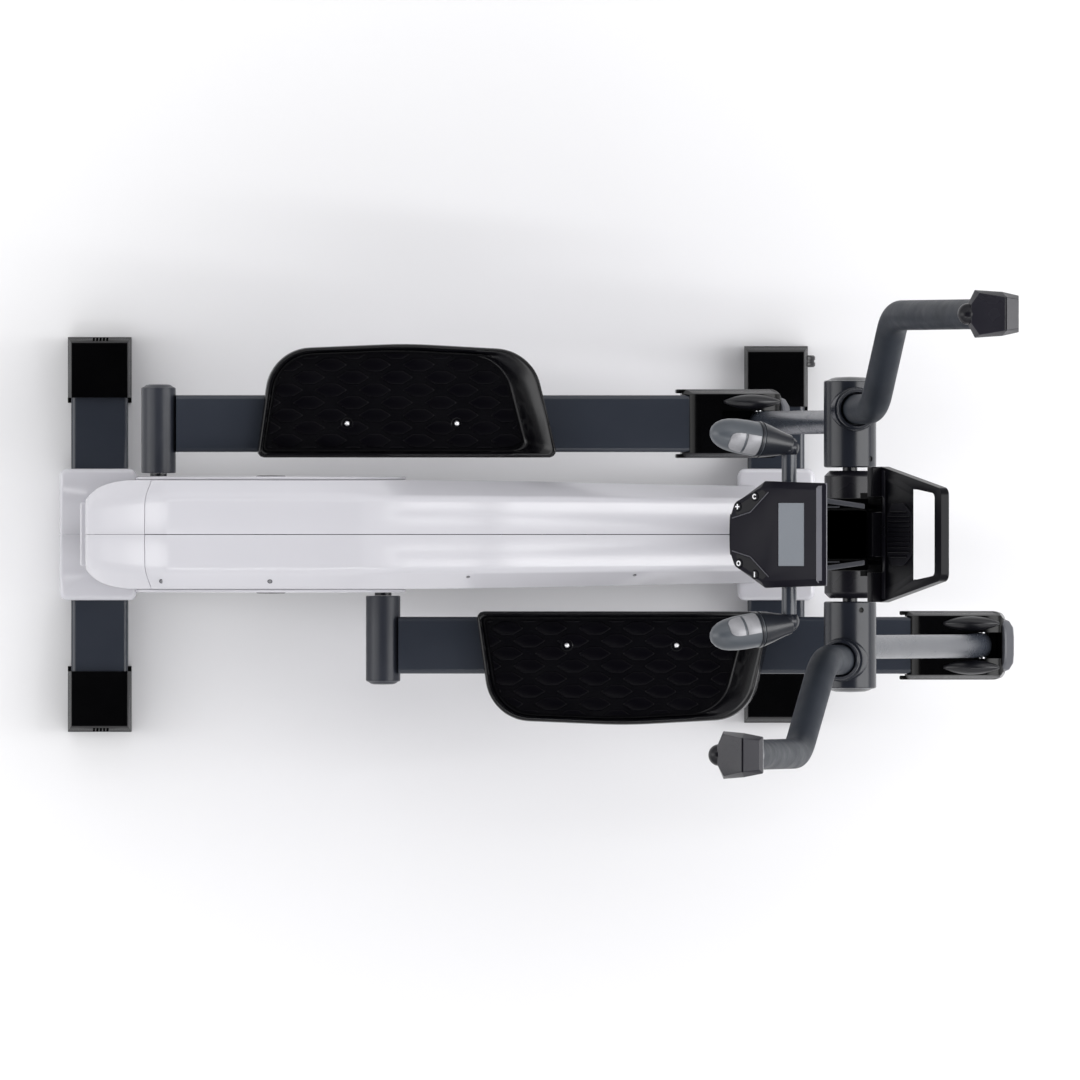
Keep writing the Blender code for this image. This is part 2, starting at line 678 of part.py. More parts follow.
def make_pedal(side, label, looks, marker):
    """A shallow tray with a raised rim and a high toe end, on top of the bar."""
    base = BAR_HEIGHT / 2 + GAP
    pedal = node(f"pedal_{label}", prism(pedal_outline(side), base, base + TOE_HEIGHT), looks["pedal"], marker)
    front = PEDAL_REAR + PEDAL_LENGTH
    top = base + PEDAL_RIM
    behind = PEDAL_REAR - 20 * MM
    slope = [(behind, top), (front - 95 * MM, top), (front - 60 * MM, top + 8 * MM),
             (front - 20 * MM, top + 30 * MM), (front - 6 * MM, base + TOE_HEIGHT), (front - 6 * MM, FAR),
             (behind, FAR)]
    cut(pedal, prism(slope, -FAR, FAR, "Y"))
    well = [(behind, base + PEDAL_BASE), (front - 70 * MM, base + PEDAL_BASE),
            (front - 30 * MM, base + 45 * MM), (front - 14 * MM, FAR), (behind, FAR)]
    hollow = prism(pedal_outline(side, 9 * MM), base + PEDAL_BASE, base + 100 * MM)
    scoop = node(f"guide_scoop_{label}", prism(well, -FAR, FAR, "Y"), None, marker)
    scoop.hide_render = True
    scoop.display_type = "WIRE"
    cut(pedal, hollow)
    helper = bpy.data.objects[pedal.modifiers[-1].name]
    step = helper.modifiers.new("scoop", "BOOLEAN")
    step.operation = "INTERSECT"
    step.solver = "EXACT"
    step.object = scoop


def make_bar(side, label, looks):
    """Pedal bar with its crank sleeve, joint bracket, joint pin and pedal, modelled about the joint."""
    marker = empty(f"{label}_bar_axis", lower_joint(side), bar_tilt(side))
    half_y, half_z = BAR_WIDTH / 2, BAR_HEIGHT / 2
    low, high = sorted((side * (BAR_CENTRE - half_y), side * (BAR_CENTRE + half_y)))
    bar_end = -56 * MM
    bar = node(f"pedal_bar_{label}", box((-BAR_LENGTH, low, -half_z), (bar_end, high, half_z), 5 * MM, 2),
               looks["frame"], marker)
    crank_spot = (-BAR_LENGTH, 0, 0)
    hollow_start = -BAR_LENGTH + SLEEVE_RADIUS + 4 * MM
    bore = half_z - TUBE_WALL
    cut(bar, box((hollow_start, low + TUBE_WALL, -bore), (bar_end + MM, high - TUBE_WALL, bore)))
    cut(bar, cylinder(SLEEVE_RADIUS + GAP, -FAR, FAR, crank_spot, 32))
    profile = [(side * SLEEVE_INNER, SLEEVE_RADIUS), (side * (SLEEVE_OUTER - 5 * MM), SLEEVE_RADIUS),
               (side * (SLEEVE_OUTER - 1.5 * MM), SLEEVE_RADIUS - 3 * MM),
               (side * SLEEVE_OUTER, SLEEVE_RADIUS - 10 * MM)]
    node(f"crank_sleeve_{label}", turned(profile, 32, crank_spot), looks["cap"], marker)

    edge_low, edge_high = sorted((side * (BAR_CENTRE - BRACKET_HALF), side * (BAR_CENTRE + BRACKET_HALF)))
    section = rounded([(BRACKET_REAR, -30 * MM, 4 * MM), (BRACKET_FRONT - 18 * MM, -34 * MM, 16 * MM),
                       (BRACKET_FRONT, -8 * MM, 14 * MM), (BRACKET_FRONT - 4 * MM, 26 * MM, 12 * MM),
                       (-48 * MM, 46 * MM, 8 * MM), (-70 * MM, 30 * MM, 8 * MM),
                       (BRACKET_REAR, 27 * MM, 4 * MM)], 3)
    bracket = node(f"joint_bracket_{label}", prism(section, edge_low, edge_high, "Y"), looks["cap"], marker)
    cut(bracket, box((-FAR, low - GAP, -half_z - GAP), (bar_end + GAP, high + GAP, half_z + GAP)))
    slot_low, slot_high = sorted((side * (BAR_CENTRE - 18 * MM), side * (BAR_CENTRE + 18 * MM)))
    open_top = 100 * MM
    slot = [(-50 * MM, open_top), (-50 * MM, -16 * MM), (-20 * MM, -24 * MM), (22 * MM, -24 * MM),
            (36 * MM, -2 * MM), (36 * MM, open_top)]
    cut(bracket, prism(slot, slot_low, slot_high, "Y"))
    pin_low, pin_high = sorted((side * (BAR_CENTRE - 40 * MM), side * (BAR_CENTRE + 40 * MM)))
    pin = (0, 0, 0)
    cut(bracket, cylinder(JOINT_PIN_RADIUS + GAP, pin_low - GAP, pin_high + GAP, pin, 20))
    node(f"joint_pin_{label}", cylinder(JOINT_PIN_RADIUS, pin_low, pin_high, pin, 20), looks["steel"], marker)
    make_pedal(side, label, looks, marker)


# ---------------------------------------------------------------- swing arms
PIVOT_INNER = 90.4 * MM
PIVOT_OUTER = 207.9 * MM
PIVOT_RADIUS = 35.4 * MM
ARM_Y = 152 * MM
AXLE_RADIUS = 10 * MM
SOCKET_Y = 169 * MM
HANDLE_Y = 294.4 * MM
HANDLE_RADIUS = 20.2 * MM
SOCKET_TOP = 52 * MM
KNOB_NECK = (53 * MM, 668 * MM)       # forward and up from the pivot, along the arm


def make_arm(side, label, looks):
    """Pivot sleeve, lower tube, handle and grip end of one swing arm, modelled about the pivot."""
    marker = empty(f"{label}_arm_axis", PIVOT, arm_tilt(side))
    profile = [(side * PIVOT_INNER, PIVOT_RADIUS - 2 * MM), (side * (PIVOT_INNER + 2 * MM), PIVOT_RADIUS),
               (side * (PIVOT_OUTER - 2 * MM), PIVOT_RADIUS), (side * PIVOT_OUTER, PIVOT_RADIUS - 6 * MM),
               (side * (PIVOT_OUTER + 5 * MM), PIVOT_RADIUS - 16 * MM)]
    sleeve = node(f"pivot_sleeve_{label}", turned(profile, 36), looks["cap"], marker)
    add(sleeve, cylinder(30 * MM, 0, SOCKET_TOP, (0, side * SOCKET_Y, 0), 28, "Z"))
    bore = sorted((side * (PIVOT_INNER - 5 * MM), side * (PIVOT_OUTER - 8 * MM)))
    cut(sleeve, cylinder(AXLE_RADIUS + 0.4 * MM, bore[0], bore[1], (0, 0, 0), 32))
    socket_floor = 34 * MM
    cut(sleeve, cylinder(HANDLE_RADIUS + 1.5 * MM, socket_floor, FAR, (0, side * SOCKET_Y, 0), 20, "Z"))

    top = -PIVOT_RADIUS - GAP
    eye_half = 17.4 * MM
    centre = (0, side * ARM_Y, 0)
    arm = node(f"swing_tube_{label}", cylinder(ARM_TUBE_RADIUS, -ARM_LENGTH + 24 * MM, top, centre, 24, "Z"),
               looks["arm"], marker)
    eye_low, eye_high = sorted((side * BAR_CENTRE - eye_half, side * BAR_CENTRE + eye_half))
    add(arm, cylinder(15 * MM, eye_low, eye_high, (0, 0, -ARM_LENGTH), 28))
    web_low, web_high = side * BAR_CENTRE - 14 * MM, side * BAR_CENTRE + 14 * MM
    add(arm, box((-11 * MM, web_low, -ARM_LENGTH), (11 * MM, web_high, -ARM_LENGTH + 40 * MM), 2 * MM))
    cut(arm, cylinder(JOINT_PIN_RADIUS + 0.4 * MM, -FAR, FAR, (0, 0, -ARM_LENGTH), 20))

    neck = Vector((KNOB_NECK[0], side * HANDLE_Y, KNOB_NECK[1]))
    corners = [((0, side * SOCKET_Y, socket_floor + 2 * MM), 0), ((5 * MM, side * SOCKET_Y, 141 * MM), 80 * MM),
               ((7 * MM, side * HANDLE_Y, 275 * MM), 75 * MM), (neck, 0)]
    path = fillet_path(corners, 6)
    node(f"handlebar_{label}", swept(path, [HANDLE_RADIUS] * len(path), 20), looks["foam"], marker)
    node(f"handle_knob_{label}", knob_body(side, neck, path), looks["cap"], marker)


def knob_body(side, neck, path):
    """A wedge-shaped grip end: a round neck, a rear thumb bulge and two facets that meet in a ridge."""
    heading = (path[-1] - path[-2]).normalized()
    start = neck + heading * GAP
    across = Vector((0, 1, 0))
    front = across.cross(heading).normalized()
    ring = []
    for k in range(16):
        turn = math.tau * k / 16
        ring.append(start + (HANDLE_RADIUS + MM) * (across * math.cos(turn) + front * math.sin(turn)))
    # Forward of the arm's line, up from the pivot, and half width, in millimetres.
    edges = [(31.7, 716, 33.0), (66.4, 736.3, 27.0), (88.7, 721, 22.0), (85, 702, 21.0), (30, 704, 32.0)]
    points = list(ring)
    for forward, up, half in edges:
        for sign in (-1, 1):
            points.append(Vector((forward * MM, side * HANDLE_Y + sign * half * MM, up * MM)))
    for k in range(7):
        turn = math.pi * (k / 6 - 0.5)
        forward = (26 - 18 * math.cos(turn)) * MM
        points.append(Vector((forward, side * HANDLE_Y + 21 * MM * math.sin(turn), 692 * MM)))
    return hull(points)


# ---------------------------------------------------------------- head: pivot, console, pulse bar, tablet rest
def console_bottom(x):
    """Height of the console's underside over a place x."""
    along = (x - CONSOLE_REAR.x - CONSOLE_THICK * math.sin(CONSOLE_TILT)) / math.cos(CONSOLE_TILT)
    return CONSOLE_REAR.z + along * math.sin(CONSOLE_TILT) - CONSOLE_THICK * math.cos(CONSOLE_TILT)


def make_head(looks):
    end = PIVOT_OUTER - 9 * MM
    node("pivot_axle", cylinder(AXLE_RADIUS, -end, end, PIVOT, 32), looks["cap"])
    floor = 1112 * MM
    clear = 1.5 * MM
    rear_x, front_x = 302 * MM, 386 * MM
    column = [(398 * MM, 868 * MM), (454 * MM, 868 * MM), (462 * MM, 980 * MM), (462 * MM, floor),
              (391 * MM, floor),
              (front_x, console_bottom(front_x) - clear), (rear_x, console_bottom(rear_x) - clear),
              (318 * MM, 1070 * MM), (385 * MM, 985 * MM)]
    head = node("head_housing", prism(column, -33 * MM, 33 * MM, "Y"), looks["cap"])
    edge = 7 * MM
    barrel_half, barrel_radius = 86 * MM, 34.6 * MM
    add(head, turned([(-barrel_half, barrel_radius - edge), (-barrel_half + edge, barrel_radius),
                      (barrel_half - edge, barrel_radius), (barrel_half, barrel_radius - edge)], 32, PIVOT))
    add(head, box((388.5 * MM, -49 * MM, floor - 24 * MM), (461 * MM, 49 * MM, floor + 0.1 * MM), 2 * MM))
    for side in (-1, 1):
        cheek = [(390 * MM, side * 50 * MM), (446 * MM, side * 40 * MM), (446 * MM, side * 35.5 * MM),
                 (390 * MM, side * 45 * MM)]
        add(head, prism(cheek, floor - 10 * MM, floor + 48 * MM))
    add_lugs(head, floor)
    cut(head, cylinder(AXLE_RADIUS + GAP, -FAR, FAR, PIVOT, 32))
    cut(head, cylinder(PULSE_RADIUS + GAP, -FAR, FAR, PULSE_BAR, 24))
    mast_top = PIVOT.z - 40 * MM
    cut(head, loft([mast_section(mast_top - 20 * MM, GAP), mast_section(mast_top + GAP, GAP)]))


def console_outline(inset=0.0):
    """Plan of the console's face: a shallow curved rear edge and chamfered rear corners."""
    half = 72 * MM - inset
    right = [(inset, 0.0), (inset + 2 * MM, 24 * MM), (inset + 11 * MM, 43 * MM), (60 * MM, half),
             (CONSOLE_LENGTH - inset, half - 3 * MM)]
    left = [(x, -y) for x, y in reversed(right[1:])]
    return right + left


# Side, then distance up the face and distance from the middle, in millimetres.
BUTTONS = {"up": (1, 24, 37.4), "mode": (1, 54, 51.0), "reset": (-1, 26, 38.8), "down": (-1, 54, 53.7)}
BUTTON_RADIUS = 6.5 * MM
BUTTON_DEPTH = 4 * MM


def make_console(looks):
    frame = empty("console_plane", CONSOLE_REAR, -CONSOLE_TILT)
    rings = []
    bevel = 7 * MM
    for depth, inset in ((-CONSOLE_THICK, 6 * MM), (-CONSOLE_THICK + bevel, 0), (-bevel, 0), (0, 4 * MM)):
        rings.append([Vector((x, y, depth)) for x, y in console_outline(inset)])
    console = node("console_body", loft(rings), looks["console"], frame)
    lens_low, lens_high = (94 * MM, -42.4 * MM), (139 * MM, 42.4 * MM)
    cut(console, box((lens_low[0] - GAP, lens_low[1] - GAP, -2 * MM),
                     (lens_high[0] + GAP, lens_high[1] + GAP, 20 * MM)))
    node("console_lens", box((*lens_low, -2 * MM + GAP), (*lens_high, -0.4 * MM)), looks["lens"], frame)
    for name, (side, along, across) in BUTTONS.items():
        centre = Vector((along * MM, side * across * MM, 0))
        cut(console, cylinder(BUTTON_RADIUS + GAP, -BUTTON_DEPTH - 1.3 * MM, 20 * MM, centre, 16, "Z"))
        place = frame.matrix_basis @ centre
        marker = empty(f"button_{name}_slide", place, -CONSOLE_TILT)
        profile = [(-BUTTON_DEPTH, BUTTON_RADIUS), (0.9 * MM, BUTTON_RADIUS), (1.5 * MM, BUTTON_RADIUS - MM)]
        node(f"button_{name}", turned(profile, 16, along="Z"), looks["key"], marker)


GRIP_FRONT = Vector((340 * MM, 121 * MM, 1127 * MM))
GRIP_REAR = Vector((243 * MM, 138 * MM, 1172 * MM))


def make_pulse_bar(looks):
    """The fixed bar under the console, and on each end a grip with two contact plates."""
    half = 117 * MM
    node("pulse_bar", cylinder(PULSE_RADIUS, -half, half, PULSE_BAR, 24), looks["frame"])
    for label, side in SIDES.items():
        mirror = Vector((1, side, 1))
        front, rear = GRIP_FRONT * mirror, GRIP_REAR * mirror
        heading = (rear - front).normalized()
        length = (rear - front).length
        stops = [(-10, 14), (-4, 17), (10, 19), (26, 22.5), (72, 23), (92, 21.5), (104, 16), (110, 8)]
        scale = length / (107 * MM)
        path = [front + heading * stop * MM * scale for stop, _ in stops]
        grip = node(f"pulse_grip_{label}", swept(path, [radius * MM for _, radius in stops], 20), looks["foam"])
        cut(grip, cylinder(PULSE_RADIUS + GAP, -half - GAP, half + GAP, PULSE_BAR, 24))
        for plate, start in (("front", 37), ("rear", 63)):
            shell = plate_shell(front, heading, start * MM * scale)
            node(f"pulse_plate_{plate}_{label}", shell, looks["plate"])


def plate_shell(front, heading, start):
    """A thin curved plate that lies on the upper side of a grip."""
    width, thick, radius = 22 * MM, 1.2 * MM, 23.4 * MM
    across = Vector((0, 0, 1)).cross(heading).normalized()
    up = heading.cross(across).normalized()
    rings = []
    for k in range(9):
        angle = math.radians(-62 + 124 * k / 8)
        out = across * math.sin(angle) + up * math.cos(angle)
        corners = []
        for along, depth in ((0, 0), (width, 0), (width, thick), (0, thick)):
            corners.append(front + heading * (start + along) + out * (radius + depth))
        rings.append(corners)
    return loft(rings)


def make_tablet_rest(looks):
    """A trapezoid plate with a window below its top bar and a ledge along its foot, hinged on two lugs."""
    marker = empty("tablet_rest_axis", REST_HINGE, -REST_TILT)
    foot_half, top_half, half = 92 * MM, 61.5 * MM, REST_THICK / 2
    outline = rounded([(0, -foot_half, 4 * MM), (REST_LENGTH, -top_half, 10 * MM),
                       (REST_LENGTH, top_half, 10 * MM), (0, foot_half, 4 * MM)], 4)
    rest = node("tablet_rest", prism(outline, -half, half), looks["cap"], marker)
    window = rounded([(72 * MM, -62 * MM, 3 * MM), (149 * MM, -54 * MM, 6 * MM),
                      (149 * MM, 54 * MM, 6 * MM), (72 * MM, 62 * MM, 3 * MM)], 3)
    cut(rest, prism(window, -FAR, FAR))
    add(rest, box((-8 * MM, -91 * MM, -half + MM), (5 * MM, 91 * MM, 21 * MM), 2 * MM))
    room = LUG_RADIUS + 1.5 * MM
    for side in (-1, 1):
        low, high = sorted((side * (LUG_INNER - GAP), side * (LUG_OUTER + GAP)))
        cut(rest, box((-30 * MM, low, -30 * MM), (room, high, 40 * MM)))


def add_lugs(head, floor):
    """Two round-ended lugs that carry the tablet rest's hinge."""
    for side in (-1, 1):
        low, high = sorted((side * LUG_INNER, side * LUG_OUTER))
        start = math.radians(120)
        tip = [(REST_HINGE.x + LUG_RADIUS * math.cos(start - math.pi * k / 8),
                REST_HINGE.z + LUG_RADIUS * math.sin(start - math.pi * k / 8)) for k in range(9)]
        add(head, prism(tip + [(450 * MM, floor - 22 * MM), (450 * MM, floor + 4 * MM)], low, high, "Y"))


# ---------------------------------------------------------------- the whole machine
def main():
    for old in list(bpy.data.objects):
        bpy.data.objects.remove(old)
    looks = make_finishes()
    make_foot("rear", REAR_FOOT_X, REAR_TUBE_HALF, looks)
    make_foot("front", FRONT_FOOT_X, FRONT_TUBE_HALF, looks)
    for label, side in SIDES.items():
        make_cap("rear", REAR_FOOT_X, REAR_FOOT_HALF, REAR_TUBE_HALF, side, looks)
        front_cap = make_cap("front", FRONT_FOOT_X, FRONT_FOOT_HALF, FRONT_TUBE_HALF, side, looks)
        notch_cap(front_cap, side)
        make_roller(side, looks)
        make_bar(side, label, looks)
        make_arm(side, label, looks)
    rear = make_saddle("rear", REAR_FOOT_X, -2 * MM, looks)
    front = make_saddle("front", FRONT_FOOT_X, 0.0, looks)
    make_frame(looks)
    notch_saddles(rear, front)
    make_casing(looks)
    make_crank(looks)
    make_flywheel(looks)
    make_drive_supports(looks)
    make_belt(looks)
    make_head(looks)
    make_console(looks)
    make_pulse_bar(looks)
    make_tablet_rest(looks)


main()
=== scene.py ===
import json
import math

import bmesh
import bpy
from mathutils import Matrix, Vector


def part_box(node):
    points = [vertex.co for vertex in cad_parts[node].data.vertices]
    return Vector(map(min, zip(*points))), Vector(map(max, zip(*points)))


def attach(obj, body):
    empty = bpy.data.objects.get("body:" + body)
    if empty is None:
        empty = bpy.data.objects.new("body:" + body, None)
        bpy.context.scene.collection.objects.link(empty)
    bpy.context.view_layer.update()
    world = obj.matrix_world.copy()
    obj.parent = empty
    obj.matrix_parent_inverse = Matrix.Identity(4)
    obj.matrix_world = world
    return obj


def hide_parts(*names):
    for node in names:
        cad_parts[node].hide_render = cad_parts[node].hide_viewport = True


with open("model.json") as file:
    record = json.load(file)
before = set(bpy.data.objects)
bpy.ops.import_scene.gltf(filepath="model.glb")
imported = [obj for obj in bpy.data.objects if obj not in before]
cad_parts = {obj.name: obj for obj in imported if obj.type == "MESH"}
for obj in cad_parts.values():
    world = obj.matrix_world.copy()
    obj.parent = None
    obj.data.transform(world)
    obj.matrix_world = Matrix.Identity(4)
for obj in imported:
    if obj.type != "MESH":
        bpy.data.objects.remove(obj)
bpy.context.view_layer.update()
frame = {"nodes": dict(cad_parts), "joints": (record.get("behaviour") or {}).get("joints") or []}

MM = 0.001
SIDES = {"left": 1.0, "right": -1.0}
# far enough to cut right through any piece
FAR = 400 * MM
# the place of a piece that isn't tilted
LEVEL = Matrix.Identity(4)


# ---------------------------------------------------------------- places read from the frame
JOINTS = {joint["name"]: joint for joint in frame["joints"]}


def on_axis(joint):
    """The joint's place in the machine's middle plane."""
    x, _, z = JOINTS[joint]["pos_m"]
    return Vector((x, 0, z))


PIVOT = on_axis("left_arm_swing")
CRANK = on_axis("crank_spin")
REST_HINGE = on_axis("tablet_rest_tilt")


def middle(node):
    low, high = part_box(node)
    return (low + high) / 2


def arm_place(label):
    """An arm's own frame: its origin is on the pivot and its Z axis runs up the arm."""
    line = PIVOT - on_axis(f"{label}_bar_swing")
    return Matrix.Translation(PIVOT) @ Matrix.Rotation(math.atan2(line.x, line.z), 4, "Y")


def bar_place(label):
    """A pedal bar's own frame: its origin is on the lower joint and the bar runs along -X."""
    joint = on_axis(f"{label}_bar_swing")
    pin = middle(f"crank_pin_{label}")
    return Matrix.Translation(joint) @ Matrix.Rotation(math.atan2(pin.z - joint.z, joint.x - pin.x), 4, "Y")


def console_place():
    """The console face's own frame: X runs up the slope and Z points out of the face."""
    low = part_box("console_body")[0]
    rear = Vector((low.x, 0, low.z + CONSOLE_THICK * math.cos(CONSOLE_TILT)))
    return Matrix.Translation(rear) @ Matrix.Rotation(-CONSOLE_TILT, 4, "Y")


def rest_place():
    return Matrix.Translation(REST_HINGE) @ Matrix.Rotation(-REST_TILT, 4, "Y")


def local_box(node, place):
    """A CAD node's lowest and highest corners in a tilted frame."""
    turned_back = place.inverted()
    spots = [turned_back @ vert.co for vert in frame["nodes"][node].data.vertices]
    low = Vector(min(spot[i] for spot in spots) for i in range(3))
    high = Vector(max(spot[i] for spot in spots) for i in range(3))
    return low, high


CONSOLE_THICK = 28 * MM
KEY_PRESS = Vector(JOINTS["up_key_press"]["axis"])
CONSOLE_TILT = math.atan2(KEY_PRESS.x, -KEY_PRESS.z)
REST_TILT = math.radians(60)


# ---------------------------------------------------------------- materials
def start_material(name, colour, roughness, metallic=0.0, gloss=0.5):
    """A Principled material; uniform values sit on the shader's own sockets."""
    made = bpy.data.materials.new(name)
    made.use_nodes = True
    shader = made.node_tree.nodes["Principled BSDF"]
    shader.inputs["Base Color"].default_value = (*colour, 1.0)
    shader.inputs["Roughness"].default_value = roughness
    shader.inputs["Metallic"].default_value = metallic
    shader.inputs["Specular IOR Level"].default_value = gloss
    return made, made.node_tree, shader


def add_node(tree, kind, **settings):
    made = tree.nodes.new(kind)
    for name, value in settings.items():
        if name in made.inputs:
            made.inputs[name].default_value = value
        else:
            setattr(made, name, value)
    return made


def coordinates(tree, stretch=(1, 1, 1)):
    """The piece's own coordinates in metres, so that a pattern moves with the piece."""
    place = tree.nodes.new("ShaderNodeTexCoord")
    mapping = add_node(tree, "ShaderNodeMapping", Scale=stretch)
    tree.links.new(place.outputs["Object"], mapping.inputs["Vector"])
    return mapping.outputs["Vector"]


def noise(tree, where, scale, detail=3.0, rough=0.55):
    made = add_node(tree, "ShaderNodeTexNoise", Scale=scale, Detail=detail, Roughness=rough)
    tree.links.new(where, made.inputs["Vector"])
    return made.outputs["Fac"]


def spread(tree, value, low, high, out_low, out_high):
    """Map a texture's range to a useful one."""
    made = tree.nodes.new("ShaderNodeMapRange")
    made.inputs["From Min"].default_value = low
    made.inputs["From Max"].default_value = high
    made.inputs["To Min"].default_value = out_low
    made.inputs["To Max"].default_value = out_high
    tree.links.new(value, made.inputs["Value"])
    return made.outputs["Result"]


def mixed(tree, share, first, second):
    """A colour between two, by a texture's value."""
    made = add_node(tree, "ShaderNodeMix", data_type="RGBA")
    made.inputs[6].default_value = (*first, 1.0)
    made.inputs[7].default_value = (*second, 1.0)
    tree.links.new(share, made.inputs[0])
    return made.outputs[2]


def bumped(tree, shader, heights):
    """Chain bumps; heights are (texture value, strength, distance in metres)."""
    normal = None
    for value, strength, distance in heights:
        bump = add_node(tree, "ShaderNodeBump", Strength=strength, Distance=distance)
        tree.links.new(value, bump.inputs["Height"])
        if normal:
            tree.links.new(normal, bump.inputs["Normal"])
        normal = bump.outputs["Normal"]
    tree.links.new(normal, shader.inputs["Normal"])


def drifted_colour(tree, where, colour, vary, patch=9.0):
    """Broad, faint colour drift."""
    dark = tuple(c * (1 - vary) for c in colour)
    light = tuple(min(1.0, c * (1 + vary)) for c in colour)
    drift = spread(tree, noise(tree, where, patch, 4.0), 0.3, 0.7, 0.0, 1.0)
    return mixed(tree, drift, dark, light)


def moulded(name, colour, roughness, grain=0.0, vary=0.12, gloss=0.5):
    """Moulded plastic: drifted colour, a fine spark-eroded grain and slightly uneven gloss."""
    made, tree, shader = start_material(name, colour, roughness, gloss=gloss)
    where = coordinates(tree)
    tree.links.new(drifted_colour(tree, where, colour, vary), shader.inputs["Base Color"])
    patches = spread(tree, noise(tree, where, 24.0, 2.0), 0.3, 0.7, roughness - 0.02, roughness + 0.02)
    tree.links.new(patches, shader.inputs["Roughness"])
    heights = [(noise(tree, where, 240.0, 2.0), 0.05, 0.1 * MM)]
    if grain:
        heights.append((noise(tree, where, 1500.0, 2.0, 0.7), grain, 0.12 * MM))
    bumped(tree, shader, heights)
    return made


def painted(name, colour, roughness, flake=0.0, gloss=0.5):
    """Powder coat with orange peel; flake makes its colour drift more."""
    made, tree, shader = start_material(name, colour, roughness, gloss=gloss)
    where = coordinates(tree)
    tree.links.new(drifted_colour(tree, where, colour, 0.04 + flake), shader.inputs["Base Color"])
    patches = spread(tree, noise(tree, where, 30.0, 2.0), 0.3, 0.7, roughness - 0.02, roughness + 0.02)
    tree.links.new(patches, shader.inputs["Roughness"])
    bumped(tree, shader, [(noise(tree, where, 420.0, 1.5), 0.10, 0.12 * MM)])
    return made


def foam_material(name, colour, roughness):
    """Closed-cell foam: soft sheen, small pits and a faint skin."""
    made, tree, shader = start_material(name, colour, roughness, gloss=0.14)
    where = coordinates(tree)
    tree.links.new(drifted_colour(tree, where, colour, 0.16, 14.0), shader.inputs["Base Color"])
    cells = add_node(tree, "ShaderNodeTexVoronoi", Scale=900.0, feature="F1")
    tree.links.new(where, cells.inputs["Vector"])
    pits = spread(tree, cells.outputs["Distance"], 0.0, 0.5, 0.0, 1.0)
    bumped(tree, shader, [(pits, 0.22, 0.15 * MM), (noise(tree, where, 160.0, 3.0), 0.12, 0.3 * MM)])
    uneven = spread(tree, noise(tree, where, 40.0, 4.0), 0.3, 0.7, roughness - 0.07, roughness + 0.07)
    tree.links.new(uneven, shader.inputs["Roughness"])
    return made


def metal(name, colour, roughness, stretch, metallic=1.0):
    """Turned or brushed metal: fine lines across the stretched axis."""
    made, tree, shader = start_material(name, colour, roughness, metallic)
    lines = noise(tree, coordinates(tree, stretch), 1.0, 4.0, 0.7)
    dark = tuple(c * 0.82 for c in colour)
    shades = mixed(tree, spread(tree, lines, 0.3, 0.7, 0.0, 1.0), dark, colour)
    tree.links.new(shades, shader.inputs["Base Color"])
    streaks = spread(tree, lines, 0.3, 0.7, roughness - 0.07, roughness + 0.1)
    tree.links.new(streaks, shader.inputs["Roughness"])
    bumped(tree, shader, [(lines, 0.12, 0.05 * MM)])
    return made


def cast_metal(name, colour, roughness):
    """Turned cast iron: sand-cast grain with darker pores."""
    made, tree, shader = start_material(name, colour, roughness, 0.8)
    where = coordinates(tree)
    tree.links.new(drifted_colour(tree, where, colour, 0.3, 80.0), shader.inputs["Base Color"])
    bumped(tree, shader, [(noise(tree, where, 700.0, 4.0, 0.7), 0.35, 0.3 * MM)])
    return made


def display_glass(name, colour):
    """The display's grey film under a clear window, with the faint grid of its cells."""
    made, tree, shader = start_material(name, colour, 0.34, gloss=0.12)
    where = coordinates(tree)
    cells = add_node(tree, "ShaderNodeTexBrick", Scale=260.0, offset=0.0)
    cells.inputs["Mortar Size"].default_value = 0.03
    lit = tuple(c * 1.03 for c in colour)
    cells.inputs["Color1"].default_value = (*colour, 1.0)
    cells.inputs["Color2"].default_value = (*lit, 1.0)
    cells.inputs["Mortar"].default_value = (*(c * 0.93 for c in colour), 1.0)
    tree.links.new(where, cells.inputs["Vector"])
    tree.links.new(cells.outputs["Color"], shader.inputs["Base Color"])
    smears = spread(tree, noise(tree, where, 26.0, 3.0), 0.3, 0.7, 0.28, 0.40)
    tree.links.new(smears, shader.inputs["Roughness"])
    return made


def floor_material():
    """Pale studio paper with a painted shadow: its colour darkens towards the middle, where the machine
    stands.
    """
    made, tree, shader = start_material("studio_floor", (0.88, 0.88, 0.885), 0.85, gloss=0.1)
    where = coordinates(tree)
    painted_shadow_pool = add_node(tree, "ShaderNodeTexGradient", gradient_type="SPHERICAL")
    tree.links.new(coordinates(tree, (0.85, 0.85, 0.0)), painted_shadow_pool.inputs["Vector"])
    # painted shadow: the floor colour goes from 0.905 at the edges down to 0.755 under the machine
    shades = mixed(tree, spread(tree, painted_shadow_pool.outputs["Fac"], 0.0, 0.75, 0.0, 1.0), (0.905, 0.905, 0.905),
                   (0.755, 0.752, 0.768))
    tree.links.new(shades, shader.inputs["Base Color"])
    bumped(tree, shader, [(noise(tree, where, 300.0, 2.0), 0.03, 0.1 * MM)])
    return made


